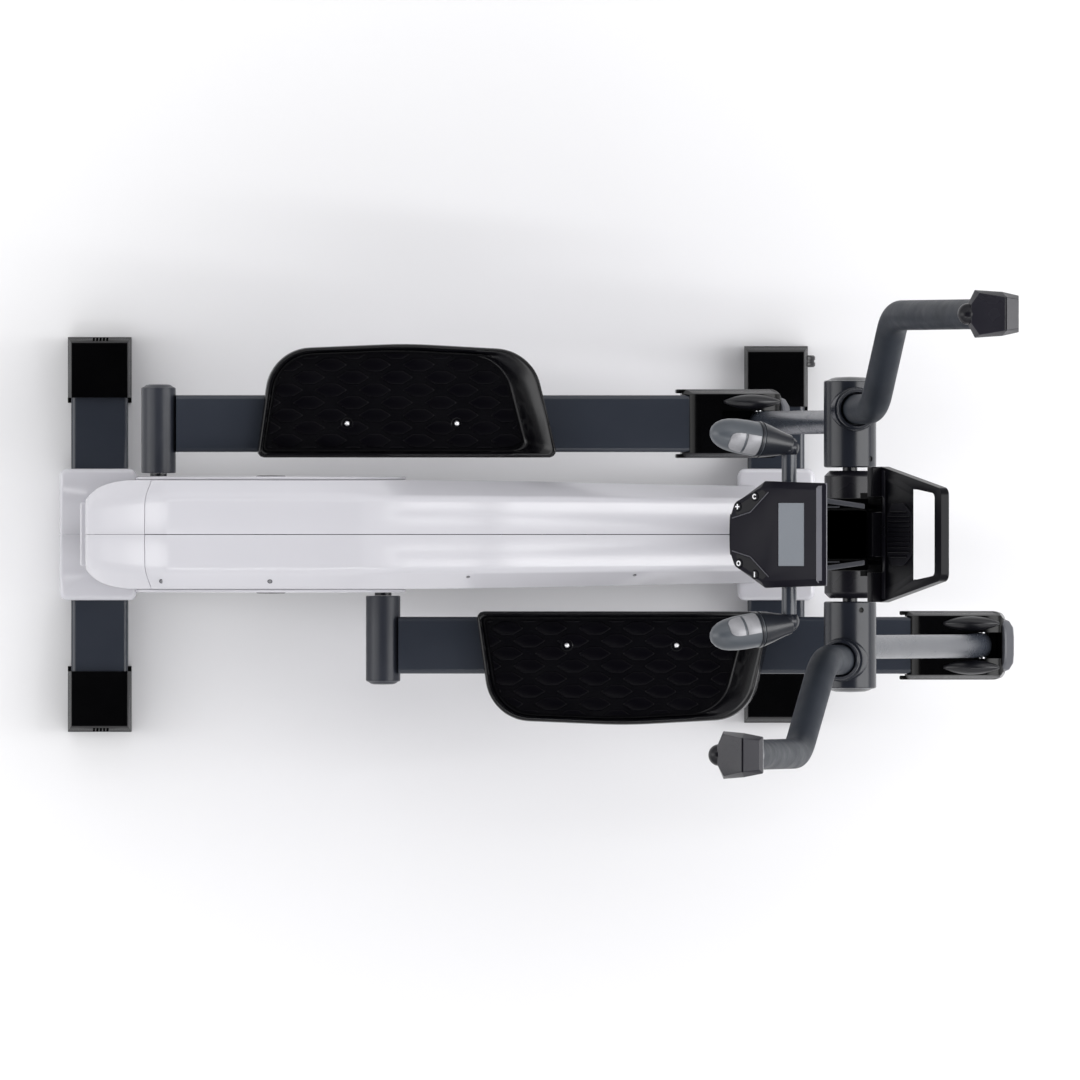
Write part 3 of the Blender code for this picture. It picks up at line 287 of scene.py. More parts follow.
LOOKS = {
    "casing": moulded("casing_plastic", (0.555, 0.55, 0.584), 0.20, 0.01, 0.008, gloss=0.55),
    "frame": painted("anthracite_paint", (0.024, 0.0283, 0.0385), 0.24, gloss=0.4),
    "sleeve": painted("sleeve_paint", (0.0118, 0.0135, 0.0190), 0.24, gloss=0.30),
    "cap": moulded("black_plastic", (0.0008, 0.0008, 0.0011), 0.20, 0.03, gloss=0.17),
    "rail": moulded("satin_black_plastic", (0.0050, 0.0050, 0.0070), 0.30, 0.03, gloss=0.42),
    "pedal": moulded("pedal_plastic", (0.0012, 0.0011, 0.0020), 0.22, 0.03, gloss=0.30),
    "tread": moulded("tread_rubber", (0.0015, 0.0013, 0.0024), 0.30, 0.06, gloss=0.07),
    "foam": foam_material("grip_foam", (0.0190, 0.0225, 0.0295), 0.50),
    "knob": moulded("soft_touch_black", (0.0105, 0.0100, 0.0150), 0.26, 0.04, gloss=0.3),
    "arm": painted("arm_paint", (0.036, 0.041, 0.052), 0.26, 0.03, gloss=0.38),
    "steel": metal("bright_steel", (0.62, 0.62, 0.64), 0.26, (2000, 60, 2000)),
    "console": moulded("console_plastic", (0.0085, 0.0080, 0.0122), 0.30, 0.04, 0.06, gloss=0.06),
    "gloss": moulded("gloss_black", (0.003, 0.003, 0.005), 0.12, 0.0, 0.05, gloss=0.08),
    "trim": moulded("grey_trim", (0.055, 0.055, 0.068), 0.34, 0.04, 0.05),
    "mark": moulded("white_mark", (0.80, 0.80, 0.82), 0.45, 0.0, 0.02),
    "lens": display_glass("display_film", (0.185, 0.201, 0.224)),
    "grip": moulded("pulse_grip_plastic", (0.058, 0.066, 0.077), 0.36, 0.08),
    "plate": metal("sensor_plate_steel", (0.27, 0.27, 0.285), 0.40, (60, 1600, 1600), 0.2),
    "head": moulded("head_plastic", (0.0062, 0.0060, 0.0085), 0.28, 0.03, gloss=0.22),
    "rest": moulded("rest_plastic", (0.0026, 0.0025, 0.0038), 0.30, 0.03, gloss=0.10),
    "collar": moulded("grip_collar", (0.0125, 0.0140, 0.0185), 0.30, 0.04, 0.05, gloss=0.35),
    "pad": moulded("rest_pad_rubber", (0.0062, 0.0060, 0.0085), 0.45, 0.08, gloss=0.10),
    # grey lip plastic; on the head's cheek edges and ribs it is also a painted highlight
    "lip": moulded("grey_lip_and_painted_highlight", (0.058, 0.060, 0.070), 0.36, 0.04, 0.05, gloss=0.4),
    "boss": painted("crank_sleeve_paint", (0.0210, 0.0235, 0.0320), 0.34, gloss=0.34),
    # grey bevel plastic, lightened as a painted highlight on the console's front edge
    "bevel": moulded("console_bevel_painted_highlight", (0.105, 0.105, 0.122), 0.34, 0.04, 0.05),
    "bolt": moulded("grey_bolt", (0.22, 0.22, 0.23), 0.40, 0.03, 0.05),
    "zinc": metal("zinc_screw", (0.95, 0.95, 0.97), 0.45, (900, 900, 900)),
    "iron": cast_metal("flywheel_iron", (0.10, 0.10, 0.11), 0.5),
    "belt": moulded("belt_rubber", (0.012, 0.012, 0.012), 0.65, 0.3),
    # near-black, so the pivot screw's hole reads dark: painted shade
    "hole": moulded("hole_painted_shade", (0.0015, 0.0015, 0.0015), 0.7, 0.0, 0.05),
}


# ---------------------------------------------------------------- shapes
def mm(points):
    """Points given in millimetres, in metres."""
    return [tuple(value * MM for value in point) for point in points]


def box(one, other):
    """The box between two opposite corners."""
    body = bmesh.new()
    bmesh.ops.create_cube(body, size=1.0)
    low, high = Vector(map(min, one, other)), Vector(map(max, one, other))
    for vert in body.verts:
        vert.co = Vector((low[i] if vert.co[i] < 0 else high[i]) for i in range(3))
    return body


def prism(outline, low, high, along="Z"):
    """Extrude an outline: (x, y) along Z, (x, z) along Y, or (y, z) along X."""
    order = {"Z": (0, 1, 2), "Y": (0, 2, 1), "X": (2, 0, 1)}[along]
    low, high = sorted((low, high))

    def place(point, depth):
        parts = (point[0], point[1], depth)
        return Vector(parts[order[i]] for i in range(3))

    body = bmesh.new()
    bottom = [body.verts.new(place(point, low)) for point in outline]
    top = [body.verts.new(place(point, high)) for point in outline]
    body.faces.new(bottom)
    body.faces.new(top)
    for i in range(len(outline)):
        j = (i + 1) % len(outline)
        body.faces.new((bottom[i], bottom[j], top[j], top[i]))
    return body


def rounded(corners, steps=8):
    """Round each corner of a polygon: corners are (u, v, radius)."""
    outline = []
    count = len(corners)
    for i, (u, v, radius) in enumerate(corners):
        here = Vector((u, v))
        before = (Vector(corners[i - 1][:2]) - here).normalized()
        after = (Vector(corners[(i + 1) % count][:2]) - here).normalized()
        if radius <= 0:
            outline.append(here)
            continue
        half = before.angle(after) / 2
        reach = radius / math.tan(half)
        centre = here + (before + after).normalized() * radius / math.sin(half)
        start = here + before * reach - centre
        turn = start.angle_signed(here + after * reach - centre)
        for k in range(steps + 1):
            outline.append(centre + Matrix.Rotation(-turn * k / steps, 2) @ start)
    return outline


def rectangle(low_u, low_v, high_u, high_v, radius, steps=8):
    return rounded([(low_u, low_v, radius), (high_u, low_v, radius), (high_u, high_v, radius),
                    (low_u, high_v, radius)], steps)


def turned(profile, segments=72, centre=(0, 0, 0), along="Y"):
    """Spin a profile of (distance along the axis, radius) about an axis through centre."""
    body = bmesh.new()
    rings = []
    for depth, radius in profile:
        ring = []
        for k in range(segments if radius > 0 else 1):
            angle = math.tau * k / segments
            across = (radius * math.cos(angle), radius * math.sin(angle))
            spot = (across[0], depth, across[1]) if along == "Y" else (across[0], across[1], depth)
            if along == "X":
                spot = (depth, across[0], across[1])
            ring.append(body.verts.new(Vector(spot) + Vector(centre)))
        rings.append(ring)
    for first, second in zip(rings, rings[1:]):
        for k in range(segments):
            j = (k + 1) % segments
            near = [first[k % len(first)], first[j % len(first)]]
            ahead = [second[j % len(second)], second[k % len(second)]]
            body.faces.new(list(dict.fromkeys(near + ahead)))
    for ring in (rings[0], rings[-1]):
        if len(ring) > 2:
            body.faces.new(ring)
    return body


def cylinder(radius, low, high, centre=(0, 0, 0), segments=48, along="Y"):
    return turned([(low, radius), (high, radius)], segments, centre, along)


def fillet_path(corners, steps=10):
    """A path with round corners: corners are (point, radius)."""
    path = []
    for i, (point, radius) in enumerate(corners):
        here = Vector(point)
        if radius <= 0:
            path.append(here)
            continue
        before = (Vector(corners[i - 1][0]) - here).normalized()
        after = (Vector(corners[i + 1][0]) - here).normalized()
        half = before.angle(after) / 2
        reach = radius / math.tan(half)
        centre = here + (before + after).normalized() * radius / math.sin(half)
        start = here + before * reach - centre
        end = here + after * reach - centre
        axis = start.cross(end).normalized()
        turn = start.angle(end)
        for k in range(steps + 1):
            path.append(centre + Matrix.Rotation(turn * k / steps, 3, axis) @ start)
    return path


def swept(path, radii, segments=40):
    """A round bar along a path; radii gives one radius for each point."""
    body = bmesh.new()
    rings = []
    tangent = (path[1] - path[0]).normalized()
    across = tangent.orthogonal().normalized()
    for i, point in enumerate(path):
        ahead = path[min(i + 1, len(path) - 1)]
        behind = path[max(i - 1, 0)]
        heading = (ahead - behind).normalized()
        across = tangent.rotation_difference(heading) @ across
        tangent = heading
        up = tangent.cross(across)
        ring = []
        for k in range(segments):
            angle = math.tau * k / segments
            ring.append(body.verts.new(point + radii[i] * (across * math.cos(angle) + up * math.sin(angle))))
        rings.append(ring)
    skin(body, rings)
    return body


def skin(body, rings, closed=True, caps=True):
    """Faces between rows of vertices."""
    for first, second in zip(rings, rings[1:]):
        for k in range(len(first) if closed else len(first) - 1):
            j = (k + 1) % len(first)
            body.faces.new((first[k], first[j], second[j], second[k]))
    if caps:
        body.faces.new(rings[0])
        body.faces.new(rings[-1])


def circle(radius, count, start=0.0, sweep=math.tau):
    """Points on a circle round the origin, the far end of the sweep left out."""
    turns = [start + sweep * k / count for k in range(count)]
    return [(radius * math.cos(turn), radius * math.sin(turn)) for turn in turns]


def facing(spot, heading):
    """A frame at spot whose Z axis points along heading."""
    return Matrix.Translation(spot) @ heading.to_track_quat("Z", "Y").to_matrix().to_4x4()


def moved(body, place):
    body.transform(place)
    return body


def loft(rings):
    body = bmesh.new()
    skin(body, [[body.verts.new(point) for point in ring] for ring in rings])
    return body


def hull(points):
    """The convex solid around a set of points."""
    body = bmesh.new()
    for point in points:
        body.verts.new(point)
    made = bmesh.ops.convex_hull(body, input=body.verts)
    unused = made["geom_interior"] + made["geom_unused"]
    spare = {item for item in unused if isinstance(item, bmesh.types.BMVert)}
    bmesh.ops.delete(body, geom=list(spare), context="VERTS")
    bmesh.ops.dissolve_limit(body, angle_limit=math.radians(1), verts=body.verts, edges=body.edges)
    return body


def smooth_ramp(value, stops):
    """Read a value from (place, value) stops on a curve that never overshoots them."""
    places = [stop[0] for stop in stops]
    values = [stop[1] for stop in stops]
    if value <= places[0]:
        return values[0]
    if value >= places[-1]:
        return values[-1]
    i = max(k for k in range(len(places) - 1) if places[k] <= value)
    steep = [(values[k + 1] - values[k]) / (places[k + 1] - places[k]) for k in range(len(places) - 1)]

    def slope(k):
        if k == 0 or k == len(places) - 1:
            return steep[0] if k == 0 else steep[-1]
        first, second = steep[k - 1], steep[k]
        return 0.0 if first * second <= 0 else 2 * first * second / (first + second)

    width = places[i + 1] - places[i]
    t = (value - places[i]) / width
    lift = values[i] * (1 + 2 * t) * (1 - t) ** 2 + values[i + 1] * t * t * (3 - 2 * t)
    return lift + width * (slope(i) * t * (1 - t) ** 2 - slope(i + 1) * t * t * (1 - t))


# ---------------------------------------------------------------- pieces
def mesh_object(name, body, place=LEVEL, set_normals=True):
    if set_normals:
        bmesh.ops.recalc_face_normals(body, faces=body.faces)
    mesh = bpy.data.meshes.new(name)
    body.to_mesh(mesh)
    body.free()
    mesh.shade_smooth()
    made = bpy.data.objects.new(name, mesh)
    bpy.context.scene.collection.objects.link(made)
    made.matrix_world = place
    return made


def settle(made):
    """Apply a piece's modifiers."""
    bpy.context.view_layer.update()
    done = bpy.data.meshes.new_from_object(made.evaluated_get(bpy.context.evaluated_depsgraph_get()))
    made.modifiers.clear()
    made.data = done
    return made


def combine(target, body, operation):
    """Cut or join a helper body, in the target's own frame, and leave nothing behind."""
    helper = mesh_object("helper", body, target.matrix_world.copy())
    step = target.modifiers.new("combine", "BOOLEAN")
    step.operation = operation
    step.solver = "EXACT"
    step.object = helper
    settle(target)
    bpy.data.objects.remove(helper)
    return target


def cut(target, *bodies):
    for body in bodies:
        combine(target, body, "DIFFERENCE")
    return target


def add(target, *bodies):
    for body in bodies:
        combine(target, body, "UNION")
    return target


def soften(made, width, steps=3, angle=32):
    """Round the edges sharper than angle and keep the flats flat."""
    bevel = made.modifiers.new("soft_edges", "BEVEL")
    bevel.width = width
    bevel.segments = steps
    bevel.limit_method = "ANGLE"
    bevel.angle_limit = math.radians(angle)
    bevel.use_clamp_overlap = True
    bevel.miter_outer = "MITER_ARC"
    weighted = made.modifiers.new("even_normals", "WEIGHTED_NORMAL")
    weighted.keep_sharp = True
    return settle(made)


def finish(made, look, body, stands_for=()):
    """Give a piece its material, the body that it moves with and the CAD nodes that it stands for."""
    made.data.materials.clear()
    made.data.materials.append(LOOKS[look])
    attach(made, body)
    if stands_for:
        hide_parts(*stands_for)
    return made


def even(made, angle=50):
    """Smooth shading that the largest faces lead, broken at edges sharper than angle."""
    crisp(made, angle)
    weighted = made.modifiers.new("even_normals", "WEIGHTED_NORMAL")
    weighted.keep_sharp = True
    return settle(made)


def crisp(made, angle=32):
    """Smooth shading that breaks at edges sharper than angle."""
    made.data.set_sharp_from_angle(angle=math.radians(angle))
    return made


def make(name, body, look, rides, stands_for=(), place=LEVEL, edge=32, soft=None, cuts=()):
    """A whole piece: mesh, cuts, edges (crisp, or soft as (width, steps, angle)) and what finish says."""
    made = cut(mesh_object(name, body, place), *cuts)
    if soft:
        soften(made, *soft)
    else:
        crisp(made, edge)
    return finish(made, look, rides, stands_for)


# ---------------------------------------------------------------- feet
FOOT_CORNER = 7 * MM
# clearance between two pieces that fit into each other
GAP = 0.4 * MM


def make_foot(name):
    """A floor tube and its two end shoes."""
    low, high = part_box(f"{name}_foot_tube")
    tube = prism(rectangle(low.x, low.z, high.x, high.z, FOOT_CORNER), low.y, high.y, "Y")
    make(f"{name}_floor_tube", tube, "frame", "frame", [f"{name}_foot_tube"])
    for label, side in SIDES.items():
        make_shoe(name, label, side)


def make_shoe(name, label, side):
    """An end shoe: sloping sides and end, and two short ears that grip the tube."""
    low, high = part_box(f"{name}_foot_cap_{label}")
    side_slope, end_slope = 5.2 * MM, 8 * MM
    tip, root = (high.y, low.y) if side > 0 else (low.y, high.y)
    ear = root + side * 7 * MM
    shoulder, top = high.z - 15 * MM, high.z
    points = [(x, y, z) for x in (low.x, high.x) for y in (tip, ear) for z in (low.z, shoulder)]
    for x in (low.x + side_slope, high.x - side_slope):
        points += [(x, tip - side * end_slope, top), (x, ear, top)]
    shoe = mesh_object(f"{name}_shoe_{label}", hull(points))
    for edge, inward in ((low.x, 1), (high.x, -1)):
        add(shoe, box((edge, root, low.z + MM), (edge + inward * 4.3 * MM, ear + side * 4 * MM, shoulder)))
    if name == "rear":
        for k in range(5):
            x = (low.x + high.x) / 2 + 1.5 * MM + (k - 2) * 4.6 * MM
            cut(shoe, box((x - 1.5 * MM, tip - side * 5.5 * MM, shoulder - 14 * MM),
                          (x + 1.5 * MM, tip + side * 5 * MM, top + MM)))
    else:
        roller_low, roller_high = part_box(f"transport_roller_{label}")
        room = 1.5 * MM
        cut(shoe, box((roller_low.x - MM, roller_low.y - room, low.z - MM),
                      (high.x + 10 * MM, roller_high.y + room, min(roller_high.z + room, top - 2 * MM))))
    soften(shoe, 0.9 * MM, 3)
    finish(shoe, "cap", "frame", [f"{name}_foot_cap_{label}"])


def make_roller(label):
    """A transport roller with a grooved tread and a hub."""
    low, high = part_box(f"transport_roller_{label}")
    rim = (high.x - low.x) / 2 / MM
    profile = [(-10.6, 0), (-10.6, 3), (-8, 3.4), (-8, 6), (-6.5, 7), (-6.5, rim - 5), (-8, rim - 4),
               (-8, rim - 2), (-6, rim), (-2, rim), (-1.4, rim - 1)]
    mirrored = [(-depth, radius) for depth, radius in reversed(profile)]
    make(f"roller_{label}", turned(mm(profile + mirrored), 72, (low + high) / 2), "rail", f"{label}_roller",
         [f"transport_roller_{label}"])


def make_saddle(name):
    """A pale cover over a floor tube, with a moulded centre line on the rear one."""
    low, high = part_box(f"{name}_saddle_cover")
    plan = rectangle(low.x, low.y, high.x, high.y, 11 * MM)
    cover = mesh_object(f"{name}_saddle", prism(plan, low.z, high.z))
    soften(cover, 6.5 * MM, 6, 50)
    tube_low, tube_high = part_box(f"{name}_foot_tube")
    tunnel = rectangle(tube_low.x - GAP, tube_low.z - 40 * MM, tube_high.x + GAP, tube_high.z + GAP,
                       FOOT_CORNER)
    cut(cover, prism(tunnel, low.y - 10 * MM, high.y + 10 * MM, "Y"))
    if name == "rear":
        line, depth = 0.5 * MM, 1.2 * MM
        cut(cover, box((low.x - MM, -line, 0), (low.x + depth, line, high.z)),
            box((low.x - MM, -line, high.z - depth), (high.x + MM, line, high.z + MM)))
    else:
        mast_low, mast_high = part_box("mast")
        cut(cover, box((mast_low.x - 2 * MM, mast_low.y - GAP, tube_high.z + MM),
                       (mast_low.x + 74 * MM, mast_high.y + GAP, high.z + MM)))
    finish(crisp(cover), "casing", "frame", [f"{name}_saddle_cover"])


# ---------------------------------------------------------------- casing
CASING_BOTTOM = 70 * MM
CASING_TAIL = -613 * MM
CASING_NOSE = 297 * MM
# pairs of a place along X and a size there, all in millimetres; casing_sizes names the sizes
HALF_STOPS = [(-613, 47), (-609, 52), (-604, 57), (-596, 63), (-588, 67), (-572, 71.5), (-552, 74),
              (-190, 74), (297, 66)]
PLATEAU_STOPS = [(-613, 37), (-604, 42), (-588, 45.5), (-552, 49), (-501, 51), (-190, 51), (297, 48)]
TOP_STOPS = [(-613, 391), (-610, 398), (-604, 404), (-585, 422), (-520, 475), (-500, 485), (-470, 488),
             (-365, 489), (-250, 486), (-215, 479), (-150, 457), (-20, 404), (150, 305), (297, 210)]
DROP_STOPS = [(-613, 30), (-560, 26), (-500, 17), (-300, 18), (-228, 26), (-150, 52), (297, 50)]
RIDGE_STOPS = [(-613, 22), (-540, 30), (-260, 28), (-190, 12), (297, 10)]
CASING_STOPS = (HALF_STOPS, PLATEAU_STOPS, TOP_STOPS, DROP_STOPS, RIDGE_STOPS)
SEAM = 0.5 * MM
WALL = 2.6 * MM
# the tail seam's upper end, and how far forward it runs for each unit downwards
TAIL_TOP = Vector((-539 * MM, 0, 480 * MM))
TAIL_LEAN = 0.65
CASING_CROWN = 1.5 * MM
SHAFT_HOLE = 17 * MM
# along X, in millimetres
SCREW_PLACES = (-508, -361, -93, 133)


def casing_sizes(x):
    """Half width, half plateau, top, drop to the shoulder and ridge radius at a place along the casing."""
    return [smooth_ramp(x / MM, stops) * MM for stops in CASING_STOPS]


def casing_section(x):
    """Half a cross-section, from the middle line over the ridge and the shoulder to the lower edge."""
    half, flat, top, drop, ridge = casing_sizes(x)
    corners = [((x, 0, top + CASING_CROWN), 0), ((x, flat, top), ridge), ((x, half, top - drop), 6 * MM),
               ((x, half, CASING_BOTTOM), 0)]
    return fillet_path(corners, 7)


def casing_stations():
    """Places along the casing, close together where the tail rolls over."""
    fine = [CASING_TAIL + step * 1.2 * MM for step in range(20)]
    coarse, step = [], 6 * MM
    x = fine[-1] + step
    while x < CASING_NOSE:
        coarse.append(x)
        x += step
    return fine + coarse + [CASING_NOSE]


def casing_half(side):
    """One side's skin, closed at the tail and at the nose."""
    body = bmesh.new()
    rows = []
    for x in casing_stations():
        rows.append([body.verts.new((point.x, side * point.y, point.z)) for point in casing_section(x)])
    skin(body, rows, closed=False, caps=False)
    for row in (rows[0], rows[-1]):
        foot = body.verts.new((row[0].co.x, 0, CASING_BOTTOM))
        body.faces.new(row + [foot])
    bmesh.ops.recalc_face_normals(body, faces=body.faces)
    outward = sum(face.normal.y * face.calc_area() for face in body.faces) * side
    if outward < 0:
        bmesh.ops.reverse_faces(body, faces=body.faces)
    return body


def keep_side(body, spot, normal):
    """Slice a skin by a plane and keep the part that the normal points away from."""
    everything = body.verts[:] + body.edges[:] + body.faces[:]
    bmesh.ops.bisect_plane(body, geom=everything, plane_co=spot, plane_no=normal, clear_outer=True)


def skin_object(name, body):
    """A skin as a wall with slightly rounded edges along its seams."""
    made = mesh_object(name, body, set_normals=False)
    wall = made.modifiers.new("wall", "SOLIDIFY")
    wall.thickness = WALL
    wall.offset = -1.0
    wall.use_even_offset = True
    wall.use_quality_normals = True
    bevel = made.modifiers.new("seam_edges", "BEVEL")
    bevel.width = 0.5 * MM
    bevel.segments = 2
    bevel.limit_method = "ANGLE"
    bevel.angle_limit = math.radians(55)
    bevel.use_clamp_overlap = True
    return settle(made)


def make_casing():
    """Two casing halves and the tail cover behind the slanting seam, each open round the crank shaft."""
    forward = Vector((1, 0, TAIL_LEAN)).normalized()
    for label, side in SIDES.items():
        for name, away, seam, node in (("casing_shell", -forward, SEAM, f"casing_{label}"),
                                       ("tail_shell", forward, SEAM * 0.5, "tail_cover")):
            body = casing_half(side)
            keep_side(body, (0, side * seam, 0), (0, -side, 0))
            keep_side(body, TAIL_TOP - away * SEAM, away)
            shell = skin_object(f"{name}_{label}", body)
            cut(shell, cylinder(SHAFT_HOLE, -FAR, FAR, CRANK, 40))
            finish(crisp(shell, 50), "casing", "frame", [node])
    lip = box((CASING_TAIL - 8 * MM, -43.5 * MM, 84 * MM), (CASING_TAIL + 2 * MM, 43.5 * MM, 330 * MM))
    make("tail_lip", lip, "casing", "frame", soft=(2.5 * MM, 4))
    make_casing_screws()


def make_casing_screws():
    """Four screws in the right half's shoulder, each on a shallow grey disc that is the painted shade of a
    recess.
    """
    for k, along in enumerate(SCREW_PLACES):
        half, flat, top, drop, _ = casing_sizes(along * MM)
        share = 0.55 if along < -200 else 0.3
        spot = Vector((along * MM, -(flat + (half - flat) * share), top - drop * share))
        place = facing(spot, Vector((0, -drop, half - flat)).normalized())
        # the grey disc round each screw stands for a recess's shade: painted shade
        recess = turned(mm([(-1, 0), (-1, 3.4), (0.35, 3.4), (0.1, 2.6), (0.1, 0)]), 32, along="Z")
        make(f"casing_screw_recess_shade_{k + 1}", recess, "trim", "frame", place=place)
        head = turned(mm([(-0.5, 0), (-0.5, 2.2), (0.3, 2.2), (0.6, 1.6), (0.6, 0)]), 32, along="Z")
        cross = [box(*mm([(-1.6, -0.3, 0.2), (1.6, 0.3, 2)])), box(*mm([(-0.3, -1.6, 0.2), (0.3, 1.6, 2)]))]
        make(f"casing_screw_{k + 1}", head, "bolt", "frame", place=place, cuts=cross)


# ---------------------------------------------------------------- crank
def make_crank():
    """The two crank discs with a moulded step ring, their pins and their hub caps."""
    for label, side in SIDES.items():
        low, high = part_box(f"crank_disc_{label}")
        inner, outer = (low.y, high.y) if side > 0 else (high.y, low.y)
        radius = (high.x - low.x) / 2
        s, round_edge = side * MM, 1.6 * MM
        profile = [(inner, 0), (inner, radius - MM), (inner + s, radius), (outer - side * round_edge, radius)]
        for back, out in ((0.4, radius - 0.7 * MM), (0, radius - round_edge), (0, radius - 22 * MM),
                          (0.9, radius - 24 * MM), (0.9, 46 * MM), (0, 44 * MM), (0, 0)):
            profile.append((outer - back * s, out))
        make(f"disc_{label}", turned(profile, 144, CRANK), "casing", "crank",
             [f"crank_disc_{label}"])
        low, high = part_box(f"crank_pin_{label}")
        pin = middle(f"crank_pin_{label}")
        stub = cylinder((high.x - low.x) / 2, low.y, high.y, (pin.x, 0, pin.z), 64)
        make(f"pin_{label}", stub, "sleeve", "crank", [f"crank_pin_{label}"])
        cap = [(outer + proud * s, out * MM)
               for proud, out in ((-1, 0), (-1, 20), (0.6, 20), (1.4, 18.5), (1.6, 0))]
        make(f"disc_hub_cap_{label}", turned(cap, 72, CRANK), "cap", "crank")


# ---------------------------------------------------------------- pedal bars
RAIL_RISE = 0.8 * MM
BRACKET_SLOT = 20 * MM
BRACKET_CHANNEL = BRACKET_SLOT - 2.2 * MM


def make_bar(label, side):
    """A pedal bar with its crank sleeve, joint bracket and pedal."""
    place = bar_place(label)
    low, high = local_box(f"pedal_bar_{label}", place)
    tube = prism(rectangle(low.y, low.z, high.y, high.z, 6 * MM), low.x + 10 * MM, high.x, "X")
    make(f"bar_tube_{label}", tube, "frame", f"{label}_bar", [f"pedal_bar_{label}"], place)
    make_sleeve(label, side, place)
    make_bracket(label, side, place)
    make_pedal(label, side, place)


def make_sleeve(label, side, place):
    """The dark sleeve on the crank pin, with a ring groove and a domed end cap."""
    low, high = local_box(f"crank_sleeve_{label}", place)
    inner, outer = (low.y, high.y) if side > 0 else (high.y, low.y)
    radius = (high.x - low.x) / 2
    centre = ((low.x + high.x) / 2, 0, (low.z + high.z) / 2)
    s = side * MM
    profile = [(inner, 0), (inner, radius - 0.8 * MM), (inner + 0.8 * s, radius), (outer - 5.6 * s, radius)]
    for back, shrink in ((5.2, 0.8), (4.6, 0.8), (4.4, 2), (3.4, 4), (2.4, 5), (1.2, 7), (0.3, 11)):
        profile.append((outer - back * s, radius - shrink * MM))
    make(f"sleeve_{label}", turned(profile + [(outer, 0)], 96, centre), "boss", f"{label}_bar",
         [f"crank_sleeve_{label}"], place, 40)


def make_bracket(label, side, place):
    """The joint bracket: a shell over the bar's end, two ears, two rails, a bumper, two ribs and the pin."""
    low, high = local_box(f"joint_bracket_{label}", place)
    centre = (low.y + high.y) / 2
    body, front = f"{label}_bar", high.x
    nose = front - 13 * MM
    shell = mesh_object(f"bracket_{label}", bracket_shell(low, high, centre), place)
    plan = rounded([(low.x, low.y, 0), (nose, low.y, 15 * MM), (nose, high.y, 15 * MM),
                    (low.x, high.y, 0)], 8)
    combine(shell, prism(plan, -FAR, FAR), "INTERSECT")
    opening = mm([(-52, 100), (-52, -18), (24, -18), (28, 0), (28, 100)])
    tube_low, tube_high = local_box(f"pedal_bar_{label}", place)
    cut(shell, prism(opening, centre - BRACKET_CHANNEL, centre + BRACKET_CHANNEL, "Y"),
        box((-FAR, tube_low.y - GAP, tube_low.z - GAP), (-58 * MM, tube_high.y + GAP, tube_high.z + GAP)))
    soften(shell, 2.2 * MM, 4, 35)
    finish(shell, "cap", body, [f"joint_bracket_{label}"])
    for cheek in (-1, 1):
        rank = "outer" if cheek * side > 0 else "inner"
        edge = centre + cheek * (high.y - low.y) / 2
        ear = rounded([(low.x, -20 * MM, 5 * MM), (low.x + 22 * MM, -24 * MM, 5 * MM),
                       (low.x + 22 * MM, 8 * MM, 3 * MM), (low.x, 4 * MM, 4 * MM)], 5)
        make(f"bracket_ear_{label}_{rank}", prism(ear, edge, edge - cheek * 5.5 * MM, "Y"), "cap", body,
             place=place, soft=(1.8 * MM, 4))
        inner, outer = sorted((centre + cheek * BRACKET_SLOT, edge - cheek * 7 * MM))
        make(f"bracket_rail_{label}_{rank}", rail_body(inner, outer, -50 * MM, 26 * MM, high.z + RAIL_RISE),
             "rail", body, place=place, edge=70)
    make(f"bracket_bumper_{label}", bumper_body(centre, nose), "lip", body, place=place,
         soft=(1.8 * MM, 4, 25))
    for k in range(2):
        x = (17 + 6 * k) * MM
        rib = box((x, centre - BRACKET_CHANNEL, -17 * MM), (x + 1.6 * MM, centre + BRACKET_CHANNEL, -8 * MM))
        make(f"bracket_rib_{label}_{k + 1}", rib, "cap", body, place=place,
             soft=(0.6 * MM, 2))
    low, high = local_box(f"joint_pin_{label}", place)
    pin = [(low.y, 5.2 * MM), (low.y + MM, 6 * MM), (high.y - MM, 6 * MM), (high.y, 5.2 * MM)]
    make(f"pin_of_joint_{label}", turned(pin, 48), "steel", body, [f"joint_pin_{label}"],
         place)


def bracket_shell(low, high, centre):
    """Lofted along X: a slope up from the bar, a flat top with a small step, and a rounded nose."""
    half, slope = (high.y - low.y) / 2, 6.5 * MM
    stations = [(low.x + 8 * MM, 8, -22), (low.x + 13 * MM, 17, -25), (low.x + 23 * MM, 25.5, -28),
                (low.x + 33 * MM, 27, -29), (-51 * MM, 28, -31), (-47 * MM, 30.5, -31), (0, 31.5, -33),
                (15 * MM, 29, -33), (26 * MM, 21, -28), (32 * MM, 11, -20)]
    rings = []
    for x, top, bottom in stations:
        shoulder = top - (top - bottom) * 0.28
        corners = [(-half + slope * 0.4, bottom), (-half, shoulder), (-half + slope, top)]
        ring = [(x, centre + y, z * MM) for y, z in corners]
        rings.append(ring + [(x, centre - y, z * MM) for y, z in reversed(corners)])
    return loft(rings)


def bumper_body(centre, nose):
    """The pale front lip: it slopes down and forwards, and its ends are swept back."""
    section = [(-2, 15), (2, 17.5), (5, 15.5), (12.6, 3), (13, -3), (10, -16), (0, -20), (-2, -20)]
    right = [(12, 0, 1.0), (24, 1, 1.0), (33, 4.5, 0.85), (37, 10, 0.55)]
    left = [(-y, back, shrink) for y, back, shrink in reversed(right)]
    rings = []
    for y, back, shrink in left + right:
        rings.append([(nose + (along * shrink - back) * MM, centre + y * MM, up * shrink * MM)
                      for along, up in section])
    return loft(rings)


